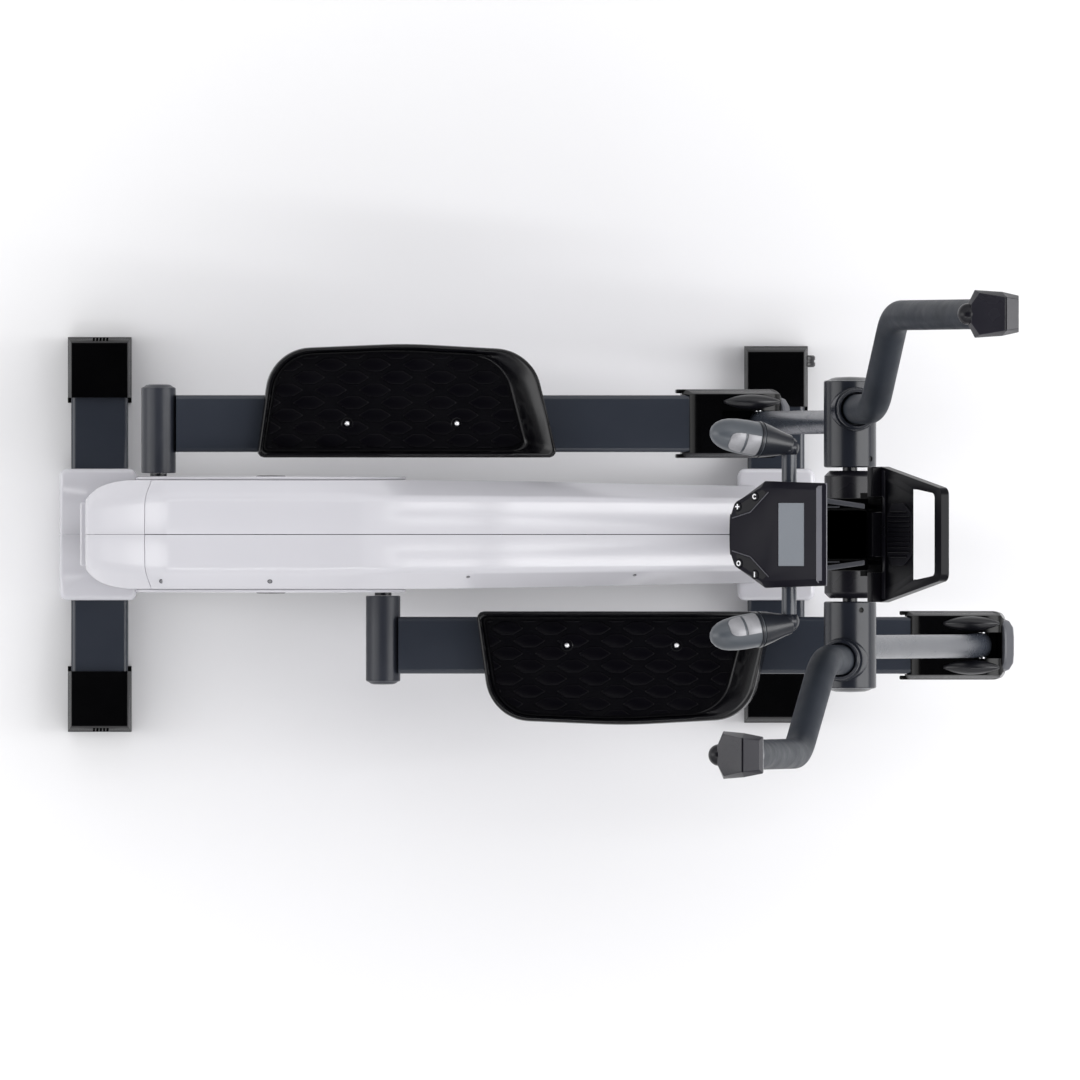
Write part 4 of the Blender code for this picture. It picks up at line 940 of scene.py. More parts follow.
def rail_body(inner, outer, start, end, lift):
    """A smooth lens-shaped hump along a cheek's inner side; its crown reaches the given height."""
    rings = []
    middle_y, reach, rise = (inner + outer) / 2, (outer - inner) / 2, 14 * MM
    for k in range(17):
        share = k / 16
        swell = math.sin(math.pi * min(max(share, 0.02), 0.98)) ** 0.55
        x = start + (end - start) * share
        rings.append([(x, middle_y + reach * y, lift - rise + rise * z) for y, z in circle(swell, 20)])
    return loft(rings)


# ---------------------------------------------------------------- pedals
PEDAL_LENGTH = 408 * MM
PEDAL_WIDTH = 154 * MM
PEDAL_POINTS = 200
RIM_HEIGHT = 26 * MM
TOE_HEIGHT = 66 * MM
TREAD_HEIGHT = 12 * MM
PAD_PITCH_X = 60 * MM
PAD_PITCH_Y = 34.4 * MM
PAD_HALF = Vector((23 * MM, 9.3 * MM))
# from the pedal's rear end, in millimetres
PEDAL_SCREW_PLACES = (124, 274)


def resample(outline, count):
    """The same closed outline as evenly spaced points."""
    lengths = [0.0]
    for i, point in enumerate(outline):
        lengths.append(lengths[-1] + (outline[(i + 1) % len(outline)] - point).length)
    made, i = [], 0
    for k in range(count):
        target = lengths[-1] * k / count
        while lengths[i + 1] < target:
            i += 1
        span = lengths[i + 1] - lengths[i]
        share = (target - lengths[i]) / span if span else 0.0
        made.append(outline[i].lerp(outline[(i + 1) % len(outline)], share))
    return made


def pedal_outline(rear, inner, side, inset=0.0, front_inset=0.0):
    """Plan of a pedal: straight inner side, crowned outer side, both ends swept inwards."""
    start, front = rear + inset, rear + PEDAL_LENGTH - inset - front_inset
    near, width = inner + inset, PEDAL_WIDTH - 2 * inset
    tight, wide = max(3 * MM, 9 * MM - inset * 0.4), 62 * MM - inset * 0.6
    corners = [(start, near, tight), (front, near, tight + front_inset * 0.25),
               (front - 0.082 * PEDAL_LENGTH, near + 0.95 * width, wide),
               ((start + front) / 2, near + 1.01 * width, 700 * MM),
               (start + 0.05 * PEDAL_LENGTH, near + 0.96 * width, wide)]
    return [Vector((point.x, side * point.y)) for point in resample(rounded(corners, 12), PEDAL_POINTS)]


def rim_line(x, front, base):
    """Height of the pedal's edge at a place along it: level, then rising to the toe."""
    stops = [(-140, RIM_HEIGHT), (-105, RIM_HEIGHT), (-62, RIM_HEIGHT + 7 * MM), (-26, RIM_HEIGHT + 26 * MM),
             (-8, TOE_HEIGHT - 2 * MM), (0, TOE_HEIGHT)]
    return base + smooth_ramp((x - front) / MM, stops)


def make_pedal(label, side, place):
    """A tray with a rolled rim and a high toe end, a tread of diamond pads and two screws."""
    low, high = local_box(f"pedal_{label}", place)
    rear, base = low.x, low.z
    inner = low.y if side > 0 else -high.y
    front, floor = rear + PEDAL_LENGTH, base + TREAD_HEIGHT
    body = f"{label}_bar"
    # inset all round, further inset at the toe, and the depth below the rim or a fixed level, in millimetres
    steps = [(3, 0, 0, base), (0.6, 0, 0, base + 2.5 * MM), (0, 0, 9, None), (0.4, 0, 3.5, None),
             (1.5, 0.5, 1, None), (3.2, 1, 0, None), (5.2, 2, 0, None), (6.8, 8, 2.6, None),
             (8, 17, 7, None), (8.6, 23, 0, floor + 9 * MM), (9.2, 27, 0, floor + 3 * MM),
             (10.4, 30, 0, floor)]
    rings = []
    for inset, front_inset, depth, level in steps:
        ring = []
        for point in pedal_outline(rear, inner, side, inset * MM, front_inset * MM):
            z = level if level is not None else rim_line(point.x, front, base) - depth * MM
            ring.append((point.x, point.y, z))
        rings.append(ring)
    tray = even(mesh_object(f"pedal_tray_{label}", loft(rings), place), 55)
    finish(tray, "pedal", body, [f"pedal_{label}"])
    make_tread(label, side, place, rear, inner, floor)
    for k, along in enumerate(PEDAL_SCREW_PLACES):
        spot = (rear + along * MM, side * 151 * MM, floor)
        seat = mm([(-1, 0), (-1, 8), (1.4, 8), (1.9, 7.4), (1.9, 6), (0.5, 5.4), (0.5, 0)])
        make(f"pedal_screw_seat_{label}_{k + 1}", turned(seat, 48, spot, "Z"), "pedal", body,
             place=place)
        head = mm([(0, 0), (0, 3.6), (1.2, 3.5), (2.4, 2.9), (3.3, 1.7), (3.6, 0)])
        make(f"pedal_screw_{label}_{k + 1}", turned(head, 40, spot, "Z"), "zinc", body,
             place=place)


def make_tread(label, side, place, rear, inner, floor):
    """The mat: rows of long diamonds, each row half a pitch on from the last, trimmed to the tray."""
    body = bmesh.new()
    columns = int(PEDAL_LENGTH / (PAD_PITCH_X / 2)) + 2
    rows = int(PEDAL_WIDTH / PAD_PITCH_Y) + 2
    for i in range(columns):
        for j in range(rows):
            x = rear + 12 * MM + i * PAD_PITCH_X / 2
            y = inner + 6 * MM + (j + (i % 2) / 2) * PAD_PITCH_Y
            rings = []
            for lift, shrink in ((-0.5, 0.0), (0.6, 0.0), (1.2, 0.6), (1.4, 1.4)):
                half_x, half_y = PAD_HALF.x - 1.6 * shrink * MM, PAD_HALF.y - shrink * MM
                waist, tip, bend = half_x * 0.34, 2 * MM, 7 * MM
                corners = [(-half_x, 0, tip), (-waist, -half_y, bend), (waist, -half_y, bend),
                           (half_x, 0, tip), (waist, half_y, bend), (-waist, half_y, bend)]
                plan = rounded([(x + u, y + v, radius) for u, v, radius in corners], 3)
                rings.append([body.verts.new((p.x, side * p.y, floor + lift * MM)) for p in plan])
            skin(body, rings)
    pads = mesh_object(f"pedal_tread_{label}", body, place)
    limit = pedal_outline(rear, inner, side, 13 * MM, 30 * MM)
    combine(pads, prism(limit, floor - 2 * MM, floor + 5 * MM), "INTERSECT")
    finish(crisp(pads, 50), "tread", f"{label}_bar")


# ---------------------------------------------------------------- swing arms
HANDLE_SEGMENTS = 56
HANDLE_RADIUS = 20.2 * MM
SOCKET_Y = 169 * MM


def make_arm(label, side):
    """A swing arm with its pivot sleeve, lower tube and handle."""
    place = arm_place(label)
    make_pivot_sleeve(label, side, place)
    make_swing_tube(label, side, place)
    make_handle(label, side, place)


def make_pivot_sleeve(label, side, place):
    """The round pivot housing with its domed end, and the stepped socket that holds the handle."""
    low, high = local_box(f"pivot_sleeve_{label}", place)
    inner, outer = (low.y, high.y) if side > 0 else (high.y, low.y)
    radius, body, s = high.x, f"{label}_arm", side * MM
    profile = [(inner + 3 * s, 0), (inner + 3 * s, 12 * MM), (inner, 13 * MM), (inner, radius - 3 * MM),
               (inner + 0.5 * s, radius - 1.2 * MM), (inner + 1.8 * s, radius), (outer - 7 * s, radius)]
    for back, shrink in ((6.4, 0.8), (5.6, 0.8), (5.2, 3.5), (4.2, 6.5), (2.4, 10), (0.8, 16)):
        profile.append((outer - back * s, radius - shrink * MM))
    barrel = crisp(mesh_object(f"pivot_barrel_{label}", turned(profile + [(outer, 0)], 112), place), 40)
    lean = math.radians(42)
    out = Vector((math.sin(lean), 0, math.cos(lean)))
    hole = facing(Vector((0, side * 102 * MM, 0)) + out * radius, out)
    cut(barrel, moved(cylinder(3.6 * MM, -3 * MM, 4 * MM, segments=32, along="Z"), hole))
    finish(crisp(barrel, 40), "sleeve", body, [f"pivot_sleeve_{label}"])
    # the screw down in the hole is near-black: painted shade in the hole
    screw = turned(mm([(-3, 0), (-3, 3.1), (-2, 3.1), (-2, 1.4), (-2.8, 0)]), 24, along="Z")
    make(f"pivot_screw_{label}", moved(screw, hole), "hole", body, place=place)
    ring = mm([(0, 0), (0, 31), (37, 30), (40, 29.2), (40.6, 27), (43, 26.6), (45, 27.6), (50, 27.2),
               (52, 25.8), (52.4, 23.4), (50, 21.8), (38, 21.2), (38, 0)])
    make(f"handle_socket_{label}", turned(ring, 96, (0, side * SOCKET_Y, 0), "Z"), "sleeve", body,
         place=place, edge=50)


def make_swing_tube(label, side, place):
    """The grey lower tube, drawn into a flattened eye at the joint."""
    top = local_box(f"swing_tube_{label}", place)[1].z
    joint = (PIVOT - on_axis(f"{label}_bar_swing")).length
    stops = [(top + 3 * MM, 152, 16, 16)]
    for past, y, half_x, half_y in ((-46, 152, 16, 16), (-34, 151, 15.4, 16.6), (-20, 151, 13.6, 17.2),
                                    (0, 151, 13.2, 17.2), (9, 151, 11.4, 17.0), (13.5, 151, 7.0, 15.6),
                                    (15, 151, 2.6, 13)):
        stops.append((-joint - past * MM, y, half_x, half_y))
    rings = []
    for z, y, half_x, half_y in stops:
        rings.append([(half_x * MM * u, (side * y + half_y * v) * MM, z) for u, v in circle(1, 48)])
    make(f"arm_tube_{label}", loft(rings), "arm", f"{label}_arm", [f"swing_tube_{label}"],
         place, 60)


def make_handle(label, side, place):
    """The foam handle on its bent tube, and the wedge-shaped grip end."""
    low, high = local_box(f"handle_knob_{label}", place)
    handle_y, socket_y, body = (low.y + high.y) / 2, side * SOCKET_Y, f"{label}_arm"
    neck = Vector((53 * MM, handle_y, 668 * MM))
    path = fillet_path([((0, socket_y, 36 * MM), 0), ((5 * MM, socket_y, 141 * MM), 80 * MM),
                        ((7 * MM, handle_y, 275 * MM), 75 * MM), (neck, 0)], 22)
    tube = swept(path, [HANDLE_RADIUS] * len(path), HANDLE_SEGMENTS)
    foam = make(f"foam_handle_{label}", tube, "foam", body, [f"handlebar_{label}"], place, 50)
    heading = (path[-1] - path[-2]).normalized()
    make(f"grip_end_{label}", knob_body(neck, heading, handle_y), "knob", body,
         [f"handle_knob_{label}"], place, soft=(1.5 * MM, 4, 20), cuts=[knob_groove(handle_y)])
    make(f"thumb_button_{label}", thumb_dome(handle_y), "head", body, place=place, edge=60)
    collar = [(along * MM, HANDLE_RADIUS + rise * MM)
              for along, rise in ((-5, 0), (-5, 1.4), (-4, 2), (1, 2), (2, 1.2), (2, 0))]
    ring = moved(turned(collar, HANDLE_SEGMENTS, along="Z"), facing(neck, heading))
    make(f"grip_collar_{label}", ring, "knob", body, place=place)


def knob_body(neck, heading, handle_y):
    """A wedge on a round neck: a long rear face, a short front face and bevelled sides."""
    across = Vector((0, 1, 0))
    front = across.cross(heading).normalized()
    points = [neck + across * u + front * v for u, v in circle(HANDLE_RADIUS + MM, 32)]
    skirt = [(22, 700, 15), (30, 703, 32), (64, 721, 29.5), (88, 713, 24.5), (85, 700, 22.5)]
    crown = [(23.5, 711, 12), (34, 716.5, 28), (66.4, 736.3, 22), (86, 723, 19.5)]
    for forward, up, half in skirt + crown:
        points += [(forward * MM, handle_y + sign * half * MM, up * MM) for sign in (-1, 1)]
    return hull(points)


def knob_groove(handle_y):
    """The body that cuts the groove across the knob's crown."""
    ridge = Matrix.Translation((66 * MM, handle_y, 736 * MM)) @ Matrix.Rotation(math.radians(4), 4, "Y")
    return moved(box(*mm([(-1.1, -40, -2.4), (1.1, 40, 6)])), ridge)


def thumb_dome(handle_y):
    """The rounded thumb button on the back of a knob."""
    quarter = [math.pi / 2 * k / 9 for k in range(9)]
    rings = [(math.sin(turn) * 14, math.cos(turn) * 14.5) for turn in quarter]
    dome = turned(mm([(-6, 14.5)] + rings + [(14, 0)]), 48, along="Z")
    return moved(dome, facing(Vector((22 * MM, handle_y, 698 * MM)), Vector((-1, 0, 0.25))))


# ---------------------------------------------------------------- head and console
# height of the tray's top face, in millimetres
HEAD_FLOOR = 1112


def make_head():
    """Pivot barrel, column, tray with its two cheeks, and the hinge lugs."""
    half, radius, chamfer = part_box("head_housing")[1].y, 34.6 * MM, 7 * MM
    barrel = [(-half, 0), (-half, radius - chamfer), (-half + chamfer, radius), (half - chamfer, radius),
              (half, radius - chamfer), (half, 0)]
    make("head_barrel", turned(barrel, 112, PIVOT), "head", "frame", ["head_housing"],
         soft=(MM, 3))
    column = rounded(mm([(398, 868, 3), (454, 868, 3), (462, 980, 20), (462, HEAD_FLOOR - 2, 2),
                         (391, HEAD_FLOOR - 2, 2), (386, 1166, 1), (302, 1106, 4), (318, 1070, 14),
                         (385, 985, 30)]), 6)
    make("head_column", prism(column, -33 * MM, 33 * MM, "Y"), "cap", "frame",
         soft=(4 * MM, 5))
    tray = mesh_object("head_tray", box(*mm([(386, -49, HEAD_FLOOR - 24), (461, 49, HEAD_FLOOR)])))
    recess = rectangle(394 * MM, -34 * MM, 449 * MM, 34 * MM, 6 * MM)
    cut(tray, prism(recess, (HEAD_FLOOR - 2) * MM, (HEAD_FLOOR + 1) * MM))
    soften(tray, 2.2 * MM, 4)
    add(tray, box(*mm([(440, -56, HEAD_FLOOR - 23), (475, 56, HEAD_FLOOR - 15)])))
    finish(tray, "cap", "frame")
    for label, side in SIDES.items():
        make_cheek(label, side)


def make_cheek(label, side):
    """One side of the head: the tray's cheek with its pale edge and rib, whose light grey is partly trim
    colour and partly a painted highlight along the top, the hinge lug and the shoulder.
    """
    cheek = mm([(387, side * 50), (446, side * 41), (446, side * 34.5), (387, side * 42.5)])
    rib = box(*mm([(388, side * 36, HEAD_FLOOR - 10), (412, side * 38.5, HEAD_FLOOR + 40)]))
    foot = HEAD_FLOOR - 26
    shoulder = rounded(mm([(396, 925, 8), (456, 925, 8), (461, foot, 4), (391, foot, 4)]), 5)
    bottom, seam, join, top = (level * MM + HEAD_FLOOR * MM for level in (-12, 42, 44, 48))
    for name, body, look, soft in (
            ("head_cheek", prism(cheek, bottom, join), "head", (1.6 * MM, 4)),
            # pale edge and rib: grey trim, lightened to give the bright lines on the cheek's top, partly a
            # painted highlight
            ("head_cheek_highlight_edge", prism(cheek, seam, top), "lip", (1.6 * MM, 4)),
            ("head_rib", rib, "lip", (0.8 * MM, 3)),
            ("rest_lug", lug_body(side), "cap", (0.4 * MM, 2)),
            ("head_shoulder", prism(shoulder, side * 32 * MM, side * 47 * MM, "Y"), "cap", (5 * MM, 5))):
        make(f"{name}_{label}", body, look, "frame", soft=soft)


def lug_body(side):
    """A round-ended lug under the rest's hinge."""
    tip = []
    for k in range(17):
        angle = math.radians(120) - math.pi * k / 16
        tip.append((REST_HINGE.x + 8 * MM * math.cos(angle), REST_HINGE.z + 8 * MM * math.sin(angle)))
    outline = tip + mm([(450, HEAD_FLOOR - 22), (450, HEAD_FLOOR + 4)])
    return prism(outline, side * 30 * MM, side * 51 * MM, "Y")


CONSOLE_LENGTH = 166 * MM
KEYS = ("up", "mode", "reset", "down")


def console_outline(inset=0.0, rear_inset=0.0):
    """Plan of the console's face: a curved rear edge, chamfered rear corners and a straight front."""
    half = 72 * MM - inset
    right = [(rear_inset, 0.0, 300 * MM), (rear_inset + 2 * MM, 22 * MM, 30 * MM),
             (rear_inset + 11 * MM, 43 * MM, 12 * MM), (60 * MM, half, 5 * MM),
             (CONSOLE_LENGTH - min(inset, 2 * MM), half - 3 * MM, 3 * MM)]
    left = [(x, -y, radius) for x, y, radius in reversed(right[1:])]
    return rounded(right + left, 5)


def make_console():
    """The console's shell with its window, key panels, front bevel and keys."""
    place = console_place()
    rings = []
    for depth, inset, rear_inset in ((-28, 9, 16), (-26, 5, 11), (-19, 0.4, 5), (-9, 0, 0.4), (-7.5, 0.3, 0),
                                     (-5, 2.6, 0.3), (-1.2, 7.4, 1.4), (-0.4, 8.4, 2.2), (0, 9.4, 3.4)):
        bevel = max(0.0, 9 + depth) * 0.95 * MM
        recede = max(0.0, -depth - 9) * MM * math.tan(CONSOLE_TILT)
        end = CONSOLE_LENGTH - bevel - recede
        rings.append([(min(point.x, end), point.y, depth * MM)
                      for point in console_outline(inset * MM, rear_inset * MM)])
    low, high = local_box("console_lens", place)
    margin = 0.5 * MM
    window = box((low.x - margin, low.y - margin, -2.2 * MM), (high.x + margin, high.y + margin, 20 * MM))
    make("console_shell", loft(rings), "console", "frame", ["console_body"], place, 28,
         cuts=[window])
    make("display_window", box((low.x, low.y, -2 * MM), (high.x, high.y, -0.5 * MM)), "lens", "frame",
         ["console_lens"], place, soft=(0.3 * MM, 2))
    for label, side in SIDES.items():
        make_key_panel(label, side, place)
    # the front band's light grey is partly a painted highlight
    make("console_front_band", console_band(), "bevel", "frame", place=place)
    for key in KEYS:
        make_key(key, place)


def console_band():
    """The grey bevel along the console's front edge; its grey is lightened as a painted highlight."""
    half, taper = 69 * MM, 7 * MM
    section = [(-9.6, 0.35), (-8.6, 0.55), (-0.2, -9.2), (-0.1, -11.2), (-1.6, -11.2), (-9.6, -1.4)]
    rings = []
    for y, top in ((-half, -9.0), (taper - half, 1.0), (half - taper, 1.0), (half, -9.0)):
        rings.append([(CONSOLE_LENGTH + along * MM, y, min(depth, top) * MM) for along, depth in section])
    return loft(rings)


def make_key_panel(label, side, place):
    """The glossy corner around two keys, bounded by a thin raised rib."""
    outline = rounded(mm([(12, side * 24, 3), (41, side * 32, 3), (70, side * 56, 2), (62, side * 61, 3),
                          (21, side * 40, 4)]), 5)
    make(f"key_panel_{label}", prism(outline, -MM, 0.35 * MM), "gloss", "frame",
         place=place, soft=(0.2 * MM, 2))
    ends = mm([(9, side * 22, 0.4), (41, side * 30, 0.4), (73, side * 57, 0.4)])
    path = fillet_path(list(zip(ends, (0, 4 * MM, 0))), 6)
    make(f"key_rib_{label}", swept(path, [0.75 * MM] * len(path), 12), "trim", "frame",
         place=place, edge=60)


def make_key(key, place):
    """A low oval key with a plain white symbol."""
    low, high = local_box(f"button_{key}", place)
    centre, radius = (low + high) / 2, (high.x - low.x) / 2
    rings = []
    for level, share in ((low.z, 1.0), (0.7 * MM, 1.0), (1.2 * MM, 0.94), (1.5 * MM, 0.80), (1.6 * MM, 0.5)):
        rings.append([(centre.x + u, centre.y + v, level) for u, v in circle(radius * share, 40)])
    make(f"key_{key}", loft(rings), "gloss", f"key_{key}", [f"button_{key}"], place, 50)
    make(f"key_symbol_{key}", symbol_body(key, centre), "mark", f"key_{key}", place=place)


def symbol_body(key, centre):
    """A plus, an open ring, a closed ring or a bar, a fraction of a millimetre proud of the key."""
    low, high = 1.44 * MM, 1.9 * MM
    reach, bar = 3.6 * MM, 0.85 * MM
    if key == "down":
        outline = rectangle(centre.x - bar, centre.y - reach, centre.x + bar, centre.y + reach, 0.3 * MM, 3)
        return prism(outline, low, high)
    if key == "up":
        arms = [(bar, bar), (bar, reach), (-bar, reach), (-bar, bar), (-reach, bar), (-reach, -bar),
                (-bar, -bar), (-bar, -reach), (bar, -reach), (bar, -bar), (reach, -bar), (reach, bar)]
        return prism([(centre.x + x, centre.y + y) for x, y in arms], low, high)
    sweep = math.tau if key == "reset" else math.radians(290)
    outer, inner = [], []
    for k in range(41):
        angle = math.radians(35) + sweep * k / 40
        spot = Vector((math.cos(angle), math.sin(angle)))
        outer.append(centre.xy + spot * 3.6 * MM)
        inner.append(centre.xy + spot * 2.1 * MM)
    if key == "mode":
        return prism(outer + inner[::-1], low, high)
    body = bmesh.new()
    rows = []
    for ring, level in ((outer, low), (outer, high), (inner, high), (inner, low), (outer, low)):
        rows.append([body.verts.new((point.x, point.y, level)) for point in ring[:-1]])
    skin(body, rows, closed=True, caps=False)
    bmesh.ops.remove_doubles(body, verts=body.verts, dist=0.01 * MM)
    return body


# ---------------------------------------------------------------- tablet rest
PAD_RIBS = 10
# from the rest's middle plane to either face, in millimetres
REST_THICK = 6


def lug_cuts():
    """Room for the two hinge lugs in the rest's foot."""
    return [box(*mm([(-30, side * 29.6, -30), (10, side * 51.4, 40)])) for side in (-1, 1)]


def make_tablet_rest():
    """A trapezoid frame with a carrying loop, a ribbed pad and a ledge along its foot."""
    place = rest_place()
    thick = REST_THICK
    outline = rounded(mm([(0, -92, 4), (165, -61.5, 11), (165, 61.5, 11), (0, 92, 4)]), 8)
    plate = mesh_object("rest_plate", prism(outline, -thick * MM, thick * MM), place)
    lean = 2 * thick * math.tan(REST_TILT)
    sill = 70 + lean
    window = rounded(mm([(sill, -61.5, 3), (147, -55, 7), (147, 55, 7), (sill, 61.5, 3)]), 6)
    wedge = mm([(sill + 1, thick + 1), (sill, thick), (sill - lean, -thick), (sill - lean, -thick - 1),
                (sill + 1, -thick - 1)])
    panel = mm([(14, -74), (sill - 3, -53), (sill - 3, 53), (14, 74)])
    cut(plate, prism(window, -FAR, FAR), prism(wedge, -61 * MM, 61 * MM, "Y"),
        prism(panel, (thick - 2) * MM, (thick + 1) * MM))
    soften(plate, 2.2 * MM, 4)
    ledge = mesh_object("rest_ledge", box(*mm([(-8, -91, -5), (5, 91, 21)])), place)
    soften(ledge, 1.8 * MM, 4)
    finish(crisp(cut(plate, *lug_cuts())), "rest", "rest", ["tablet_rest"])
    finish(crisp(cut(ledge, *lug_cuts())), "rest", "rest")
    end = sill - 5
    right = [(20, 26, 4), (34, 42, 6), (64, 42, 6), (end, 28, 2)]
    left = [(x, -y, radius) for x, y, radius in right]
    pad = prism(rounded(mm(left + right[::-1]), 5), (thick - 3) * MM, (thick + 0.4) * MM)
    make("rest_pad", pad, "pad", "rest", place=place, soft=(0.6 * MM, 3))
    for k in range(PAD_RIBS):
        y = (k - (PAD_RIBS - 1) / 2) * 6.6
        reach = max(0.0, abs(y) - 24)
        rib = box(*mm([(24 + reach, y - 1.5, thick), (end - 3 - 1.4 * reach, y + 1.5, thick + 2)]))
        make(f"rest_pad_rib_{k + 1}", rib, "rest", "rest", place=place, soft=(0.7 * MM, 3))
    strip = mesh_object("rest_foot_strip", box(*mm([(7, -86, thick - 1), (16, 86, thick + 1.2)])), place)
    soften(strip, 0.6 * MM, 3)
    finish(crisp(cut(strip, *lug_cuts())), "head", "rest")


# ---------------------------------------------------------------- pulse bar
# pairs of a place along the grip and a radius there, in millimetres
GRIP_SWELL = [(-4, 6.0), (0, 10.0), (8, 13.0), (12, 14.6), (16, 16.2), (24, 19.2), (34, 22.4), (40, 23.2),
              (60, 23.4), (76, 22.8), (88, 21.2), (97, 18.4), (104, 14.2), (109, 8.6), (111, 3.0)]
GRIP_COLLAR = [(-7, 0), (-7, 11.5), (-5, 13.6), (4, 15.2), (14, 17.8), (25, 21), (34, 23.2), (39.4, 24.4),
               (39.8, 23), (41.4, 23), (41.8, 24.6), (45, 24.6), (45.6, 22)]
PLATE_LEAN = math.radians(24)
PLATE_HALF_ARC = math.radians(36)


def make_pulse_bar():
    """The fixed bar below the console with a grip at each end."""
    low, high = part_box("pulse_bar")
    centre = (low + high) / 2
    bar = cylinder((high.x - low.x) / 2, -high.y, high.y, (centre.x, 0, centre.z), 56)
    make("pulse_tube", bar, "frame", "frame", ["pulse_bar"])
    for label, side in SIDES.items():
        make_pulse_grip(label, side, centre)


def make_pulse_grip(label, side, bar):
    """An egg-shaped grip with a ribbed collar, a ball elbow and two curved contact plates."""
    front, rear = Vector(mm([(340, side * 121, 1127)])[0]), Vector(mm([(243, side * 138, 1172)])[0])
    heading = (rear - front).normalized()
    scale = (rear - front).length / (107 * MM)
    across = Vector((0, 0, 1)).cross(heading).normalized()
    up = heading.cross(across).normalized()
    rings = []
    for stop, radius in GRIP_SWELL:
        centre = front + heading * stop * MM * scale
        rings.append([centre + across * u + up * v for u, v in circle(radius * MM, 56)])
    make(f"pulse_handle_{label}", loft(rings), "grip", "frame", [f"pulse_grip_{label}"],
         edge=40)
    collar = turned([(stop * MM * scale, radius * MM) for stop, radius in GRIP_COLLAR], 72, along="Z")
    make(f"pulse_collar_{label}", moved(collar, facing(front, heading)), "collar", "frame",
         edge=30)
    arc = [math.pi * k / 14 for k in range(1, 14)]
    ball = mm([(14, 0)] + [(math.cos(turn) * 14, math.sin(turn) * 14) for turn in arc] + [(-14, 0)])
    elbow = mesh_object(f"pulse_elbow_{label}", turned(ball, 48, (bar.x, side * 117 * MM, bar.z)))
    finish(elbow, "sleeve", "frame")
    inwards = across if across.y * side < 0 else -across
    out = up * math.cos(PLATE_LEAN) + inwards * math.sin(PLATE_LEAN)
    aside = out.cross(heading).normalized()
    for plate, start, end, nose in (("front", 47, 66.5, False), ("rear", 70, 90, True)):
        shell = plate_body(front, heading * scale, aside, out, start, end, nose)
        make(f"contact_plate_{plate}_{label}", shell, "plate", "frame",
             [f"pulse_plate_{plate}_{label}"], edge=40)


def plate_body(front, heading, across, up, start, end, nose):
    """A thin curved plate on the upper side of a grip; the rear one has a rounded nose."""
    steps = 24
    rings = []
    for k in range(steps + 1):
        turn = -1 + 2 * k / steps
        out = across * math.sin(PLATE_HALF_ARC * turn) + up * math.cos(PLATE_HALF_ARC * turn)
        far_end = end - (end - start) * 0.62 * (1 - math.sqrt(max(0.0, 1 - turn ** 4))) if nose else end
        ring = []
        for share, lift in ((0, -1.5), (0, 0.9), (0.04, 1.3), (0.5, 1.3), (0.96, 1.3), (1, 0.9), (1, -1.5)):
            along = start + (far_end - start) * share
            ring.append(front + heading * along * MM + out * (smooth_ramp(along, GRIP_SWELL) + lift) * MM)
        rings.append(ring)
    return loft(rings)


# ---------------------------------------------------------------- nodes shown as their own CAD solids
KEPT = {
    "main_beam": "frame", "mast": "frame", "crank_bearing_housing": "frame", "flywheel_axle": "frame",
    "brake_magnet_carrier": "frame", "pivot_axle": "sleeve", "crank_shaft": "steel", "drive_pulley": "cap",
    "flywheel": "iron", "drive_belt": "belt",
}


def dress_kept_nodes():
    for node, look in KEPT.items():
        piece = frame["nodes"][node]
        piece.data.materials.clear()
        piece.data.materials.append(LOOKS[look])


# ---------------------------------------------------------------- stage, light and camera
# metres; the camera is very high because the photo shows almost no perspective
CAMERA_HEIGHT = 64.0
CAMERA_FORWARD = 0.34
# what the picture spans at the aim's distance, in metres
VIEW_WIDTH = 1.4688
# how far the dome's dark cap leans to the rear
CAP_LEAN = math.radians(13)
AIM = Vector((5.5 * MM, -7.5 * MM, 400 * MM))


def make_floor():
    floor = mesh_object("studio_floor_plane", box((-16, -16, -0.05), (16, 16, -0.0005)))
    floor.data.materials.append(floor_material())


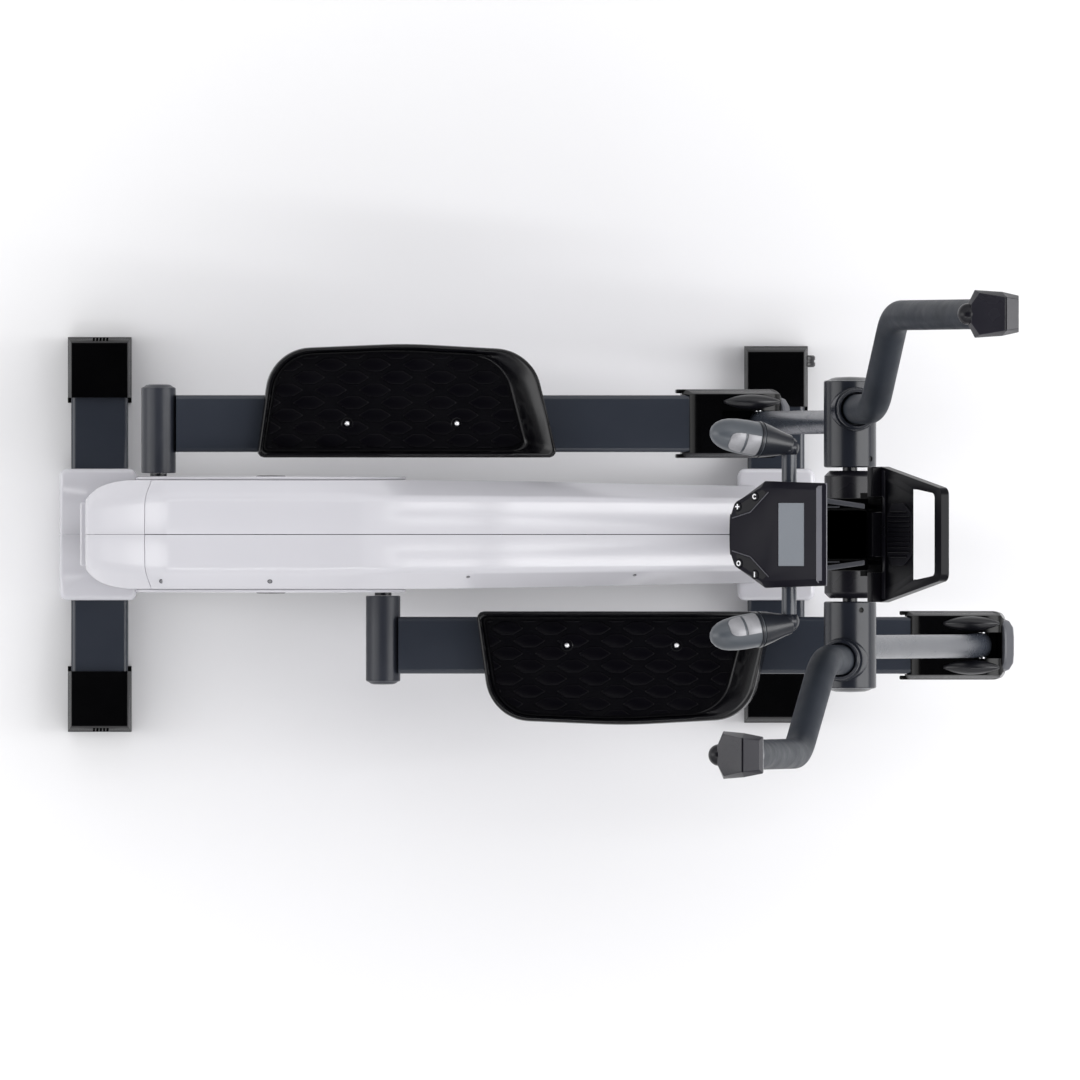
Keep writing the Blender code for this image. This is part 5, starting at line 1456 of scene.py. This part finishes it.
def make_world():
    """A studio dome: dark overhead, a bright ring below it, and more light from the front."""
    world = bpy.data.worlds.new("studio")
    bpy.context.scene.world = world
    world.use_nodes = True
    tree = world.node_tree
    background = tree.nodes["Background"]
    place = tree.nodes.new("ShaderNodeTexCoord")
    towards = add_node(tree, "ShaderNodeVectorMath", operation="DOT_PRODUCT")
    towards.inputs[1].default_value = (-math.sin(CAP_LEAN), 0, math.cos(CAP_LEAN))
    tree.links.new(place.outputs["Generated"], towards.inputs[0])
    ramp = tree.nodes.new("ShaderNodeValToRGB")
    stops = [(0.0, 0.50), (0.10, 0.52), (0.28, 0.75), (0.38, 0.93), (0.64, 0.98), (0.76, 0.50), (0.84, 0.03),
             (1.0, 0.005)]
    for where, bright in stops[1:-1]:
        ramp.color_ramp.elements.new(where)
    for stop, (where, bright) in zip(ramp.color_ramp.elements, stops):
        stop.position = where
        stop.color = (bright * 0.985, bright * 0.985, bright, 1)
    tree.links.new(towards.outputs["Value"], ramp.inputs[0])
    split = tree.nodes.new("ShaderNodeSeparateXYZ")
    tree.links.new(place.outputs["Generated"], split.inputs[0])
    strength = spread(tree, split.outputs["X"], -1.0, 1.0, 1.22, 1.63)
    tree.links.new(ramp.outputs[0], background.inputs["Color"])
    tree.links.new(strength, background.inputs["Strength"])


def make_light(name, spot, aim, size, power):
    light = bpy.data.lights.new(name, "AREA")
    light.shape = "RECTANGLE"
    light.size, light.size_y = size
    light.energy = power
    lamp = bpy.data.objects.new(name, light)
    bpy.context.scene.collection.objects.link(lamp)
    lamp.location = spot
    lamp.rotation_euler = (Vector(aim) - Vector(spot)).to_track_quat("-Z", "Y").to_euler()
    lamp.visible_camera = False


def make_camera():
    """A long lens above the machine, with X across the picture."""
    camera = bpy.data.cameras.new("camera")
    camera.sensor_width = 36.0
    eye = Vector((CAMERA_FORWARD, 0, CAMERA_HEIGHT))
    camera.lens = camera.sensor_width * (eye - AIM).length / VIEW_WIDTH
    camera.clip_start, camera.clip_end = 1.0, 200.0
    seat = bpy.data.objects.new("camera", camera)
    bpy.context.scene.collection.objects.link(seat)
    seat.location = eye
    back = (eye - AIM).normalized()
    right = Vector((1, 0, 0))
    up = back.cross(right).normalized()
    right = up.cross(back).normalized()
    seat.rotation_mode = "QUATERNION"
    seat.rotation_quaternion = Matrix((right, up, back)).transposed().to_quaternion()
    bpy.context.scene.camera = seat


# ---------------------------------------------------------------- the whole scene
def main():
    bpy.context.scene.view_settings.view_transform = "Standard"
    make_camera()
    make_floor()
    make_world()
    make_light("front_soft_box", (3.4, 0, 2.6), (0, 0, 0.4), (1.4, 4.0), 92)
    make_light("rear_soft_box", (-3.4, 0, 2.6), (0, 0, 0.4), (1.4, 4.0), 46)
    make_light("right_strip", (-0.2, -1.55, 3.8), (0, 0, 0.4), (4.6, 0.3), 30)
    make_light("left_strip", (-0.2, 1.55, 3.8), (0, 0, 0.4), (4.6, 0.3), 15)
    for name in ("rear", "front"):
        make_foot(name)
        make_saddle(name)
    make_casing()
    make_crank()
    for label, side in SIDES.items():
        make_roller(label)
        make_bar(label, side)
        make_arm(label, side)
    make_head()
    make_console()
    make_tablet_rest()
    make_pulse_bar()
    dress_kept_nodes()


main()
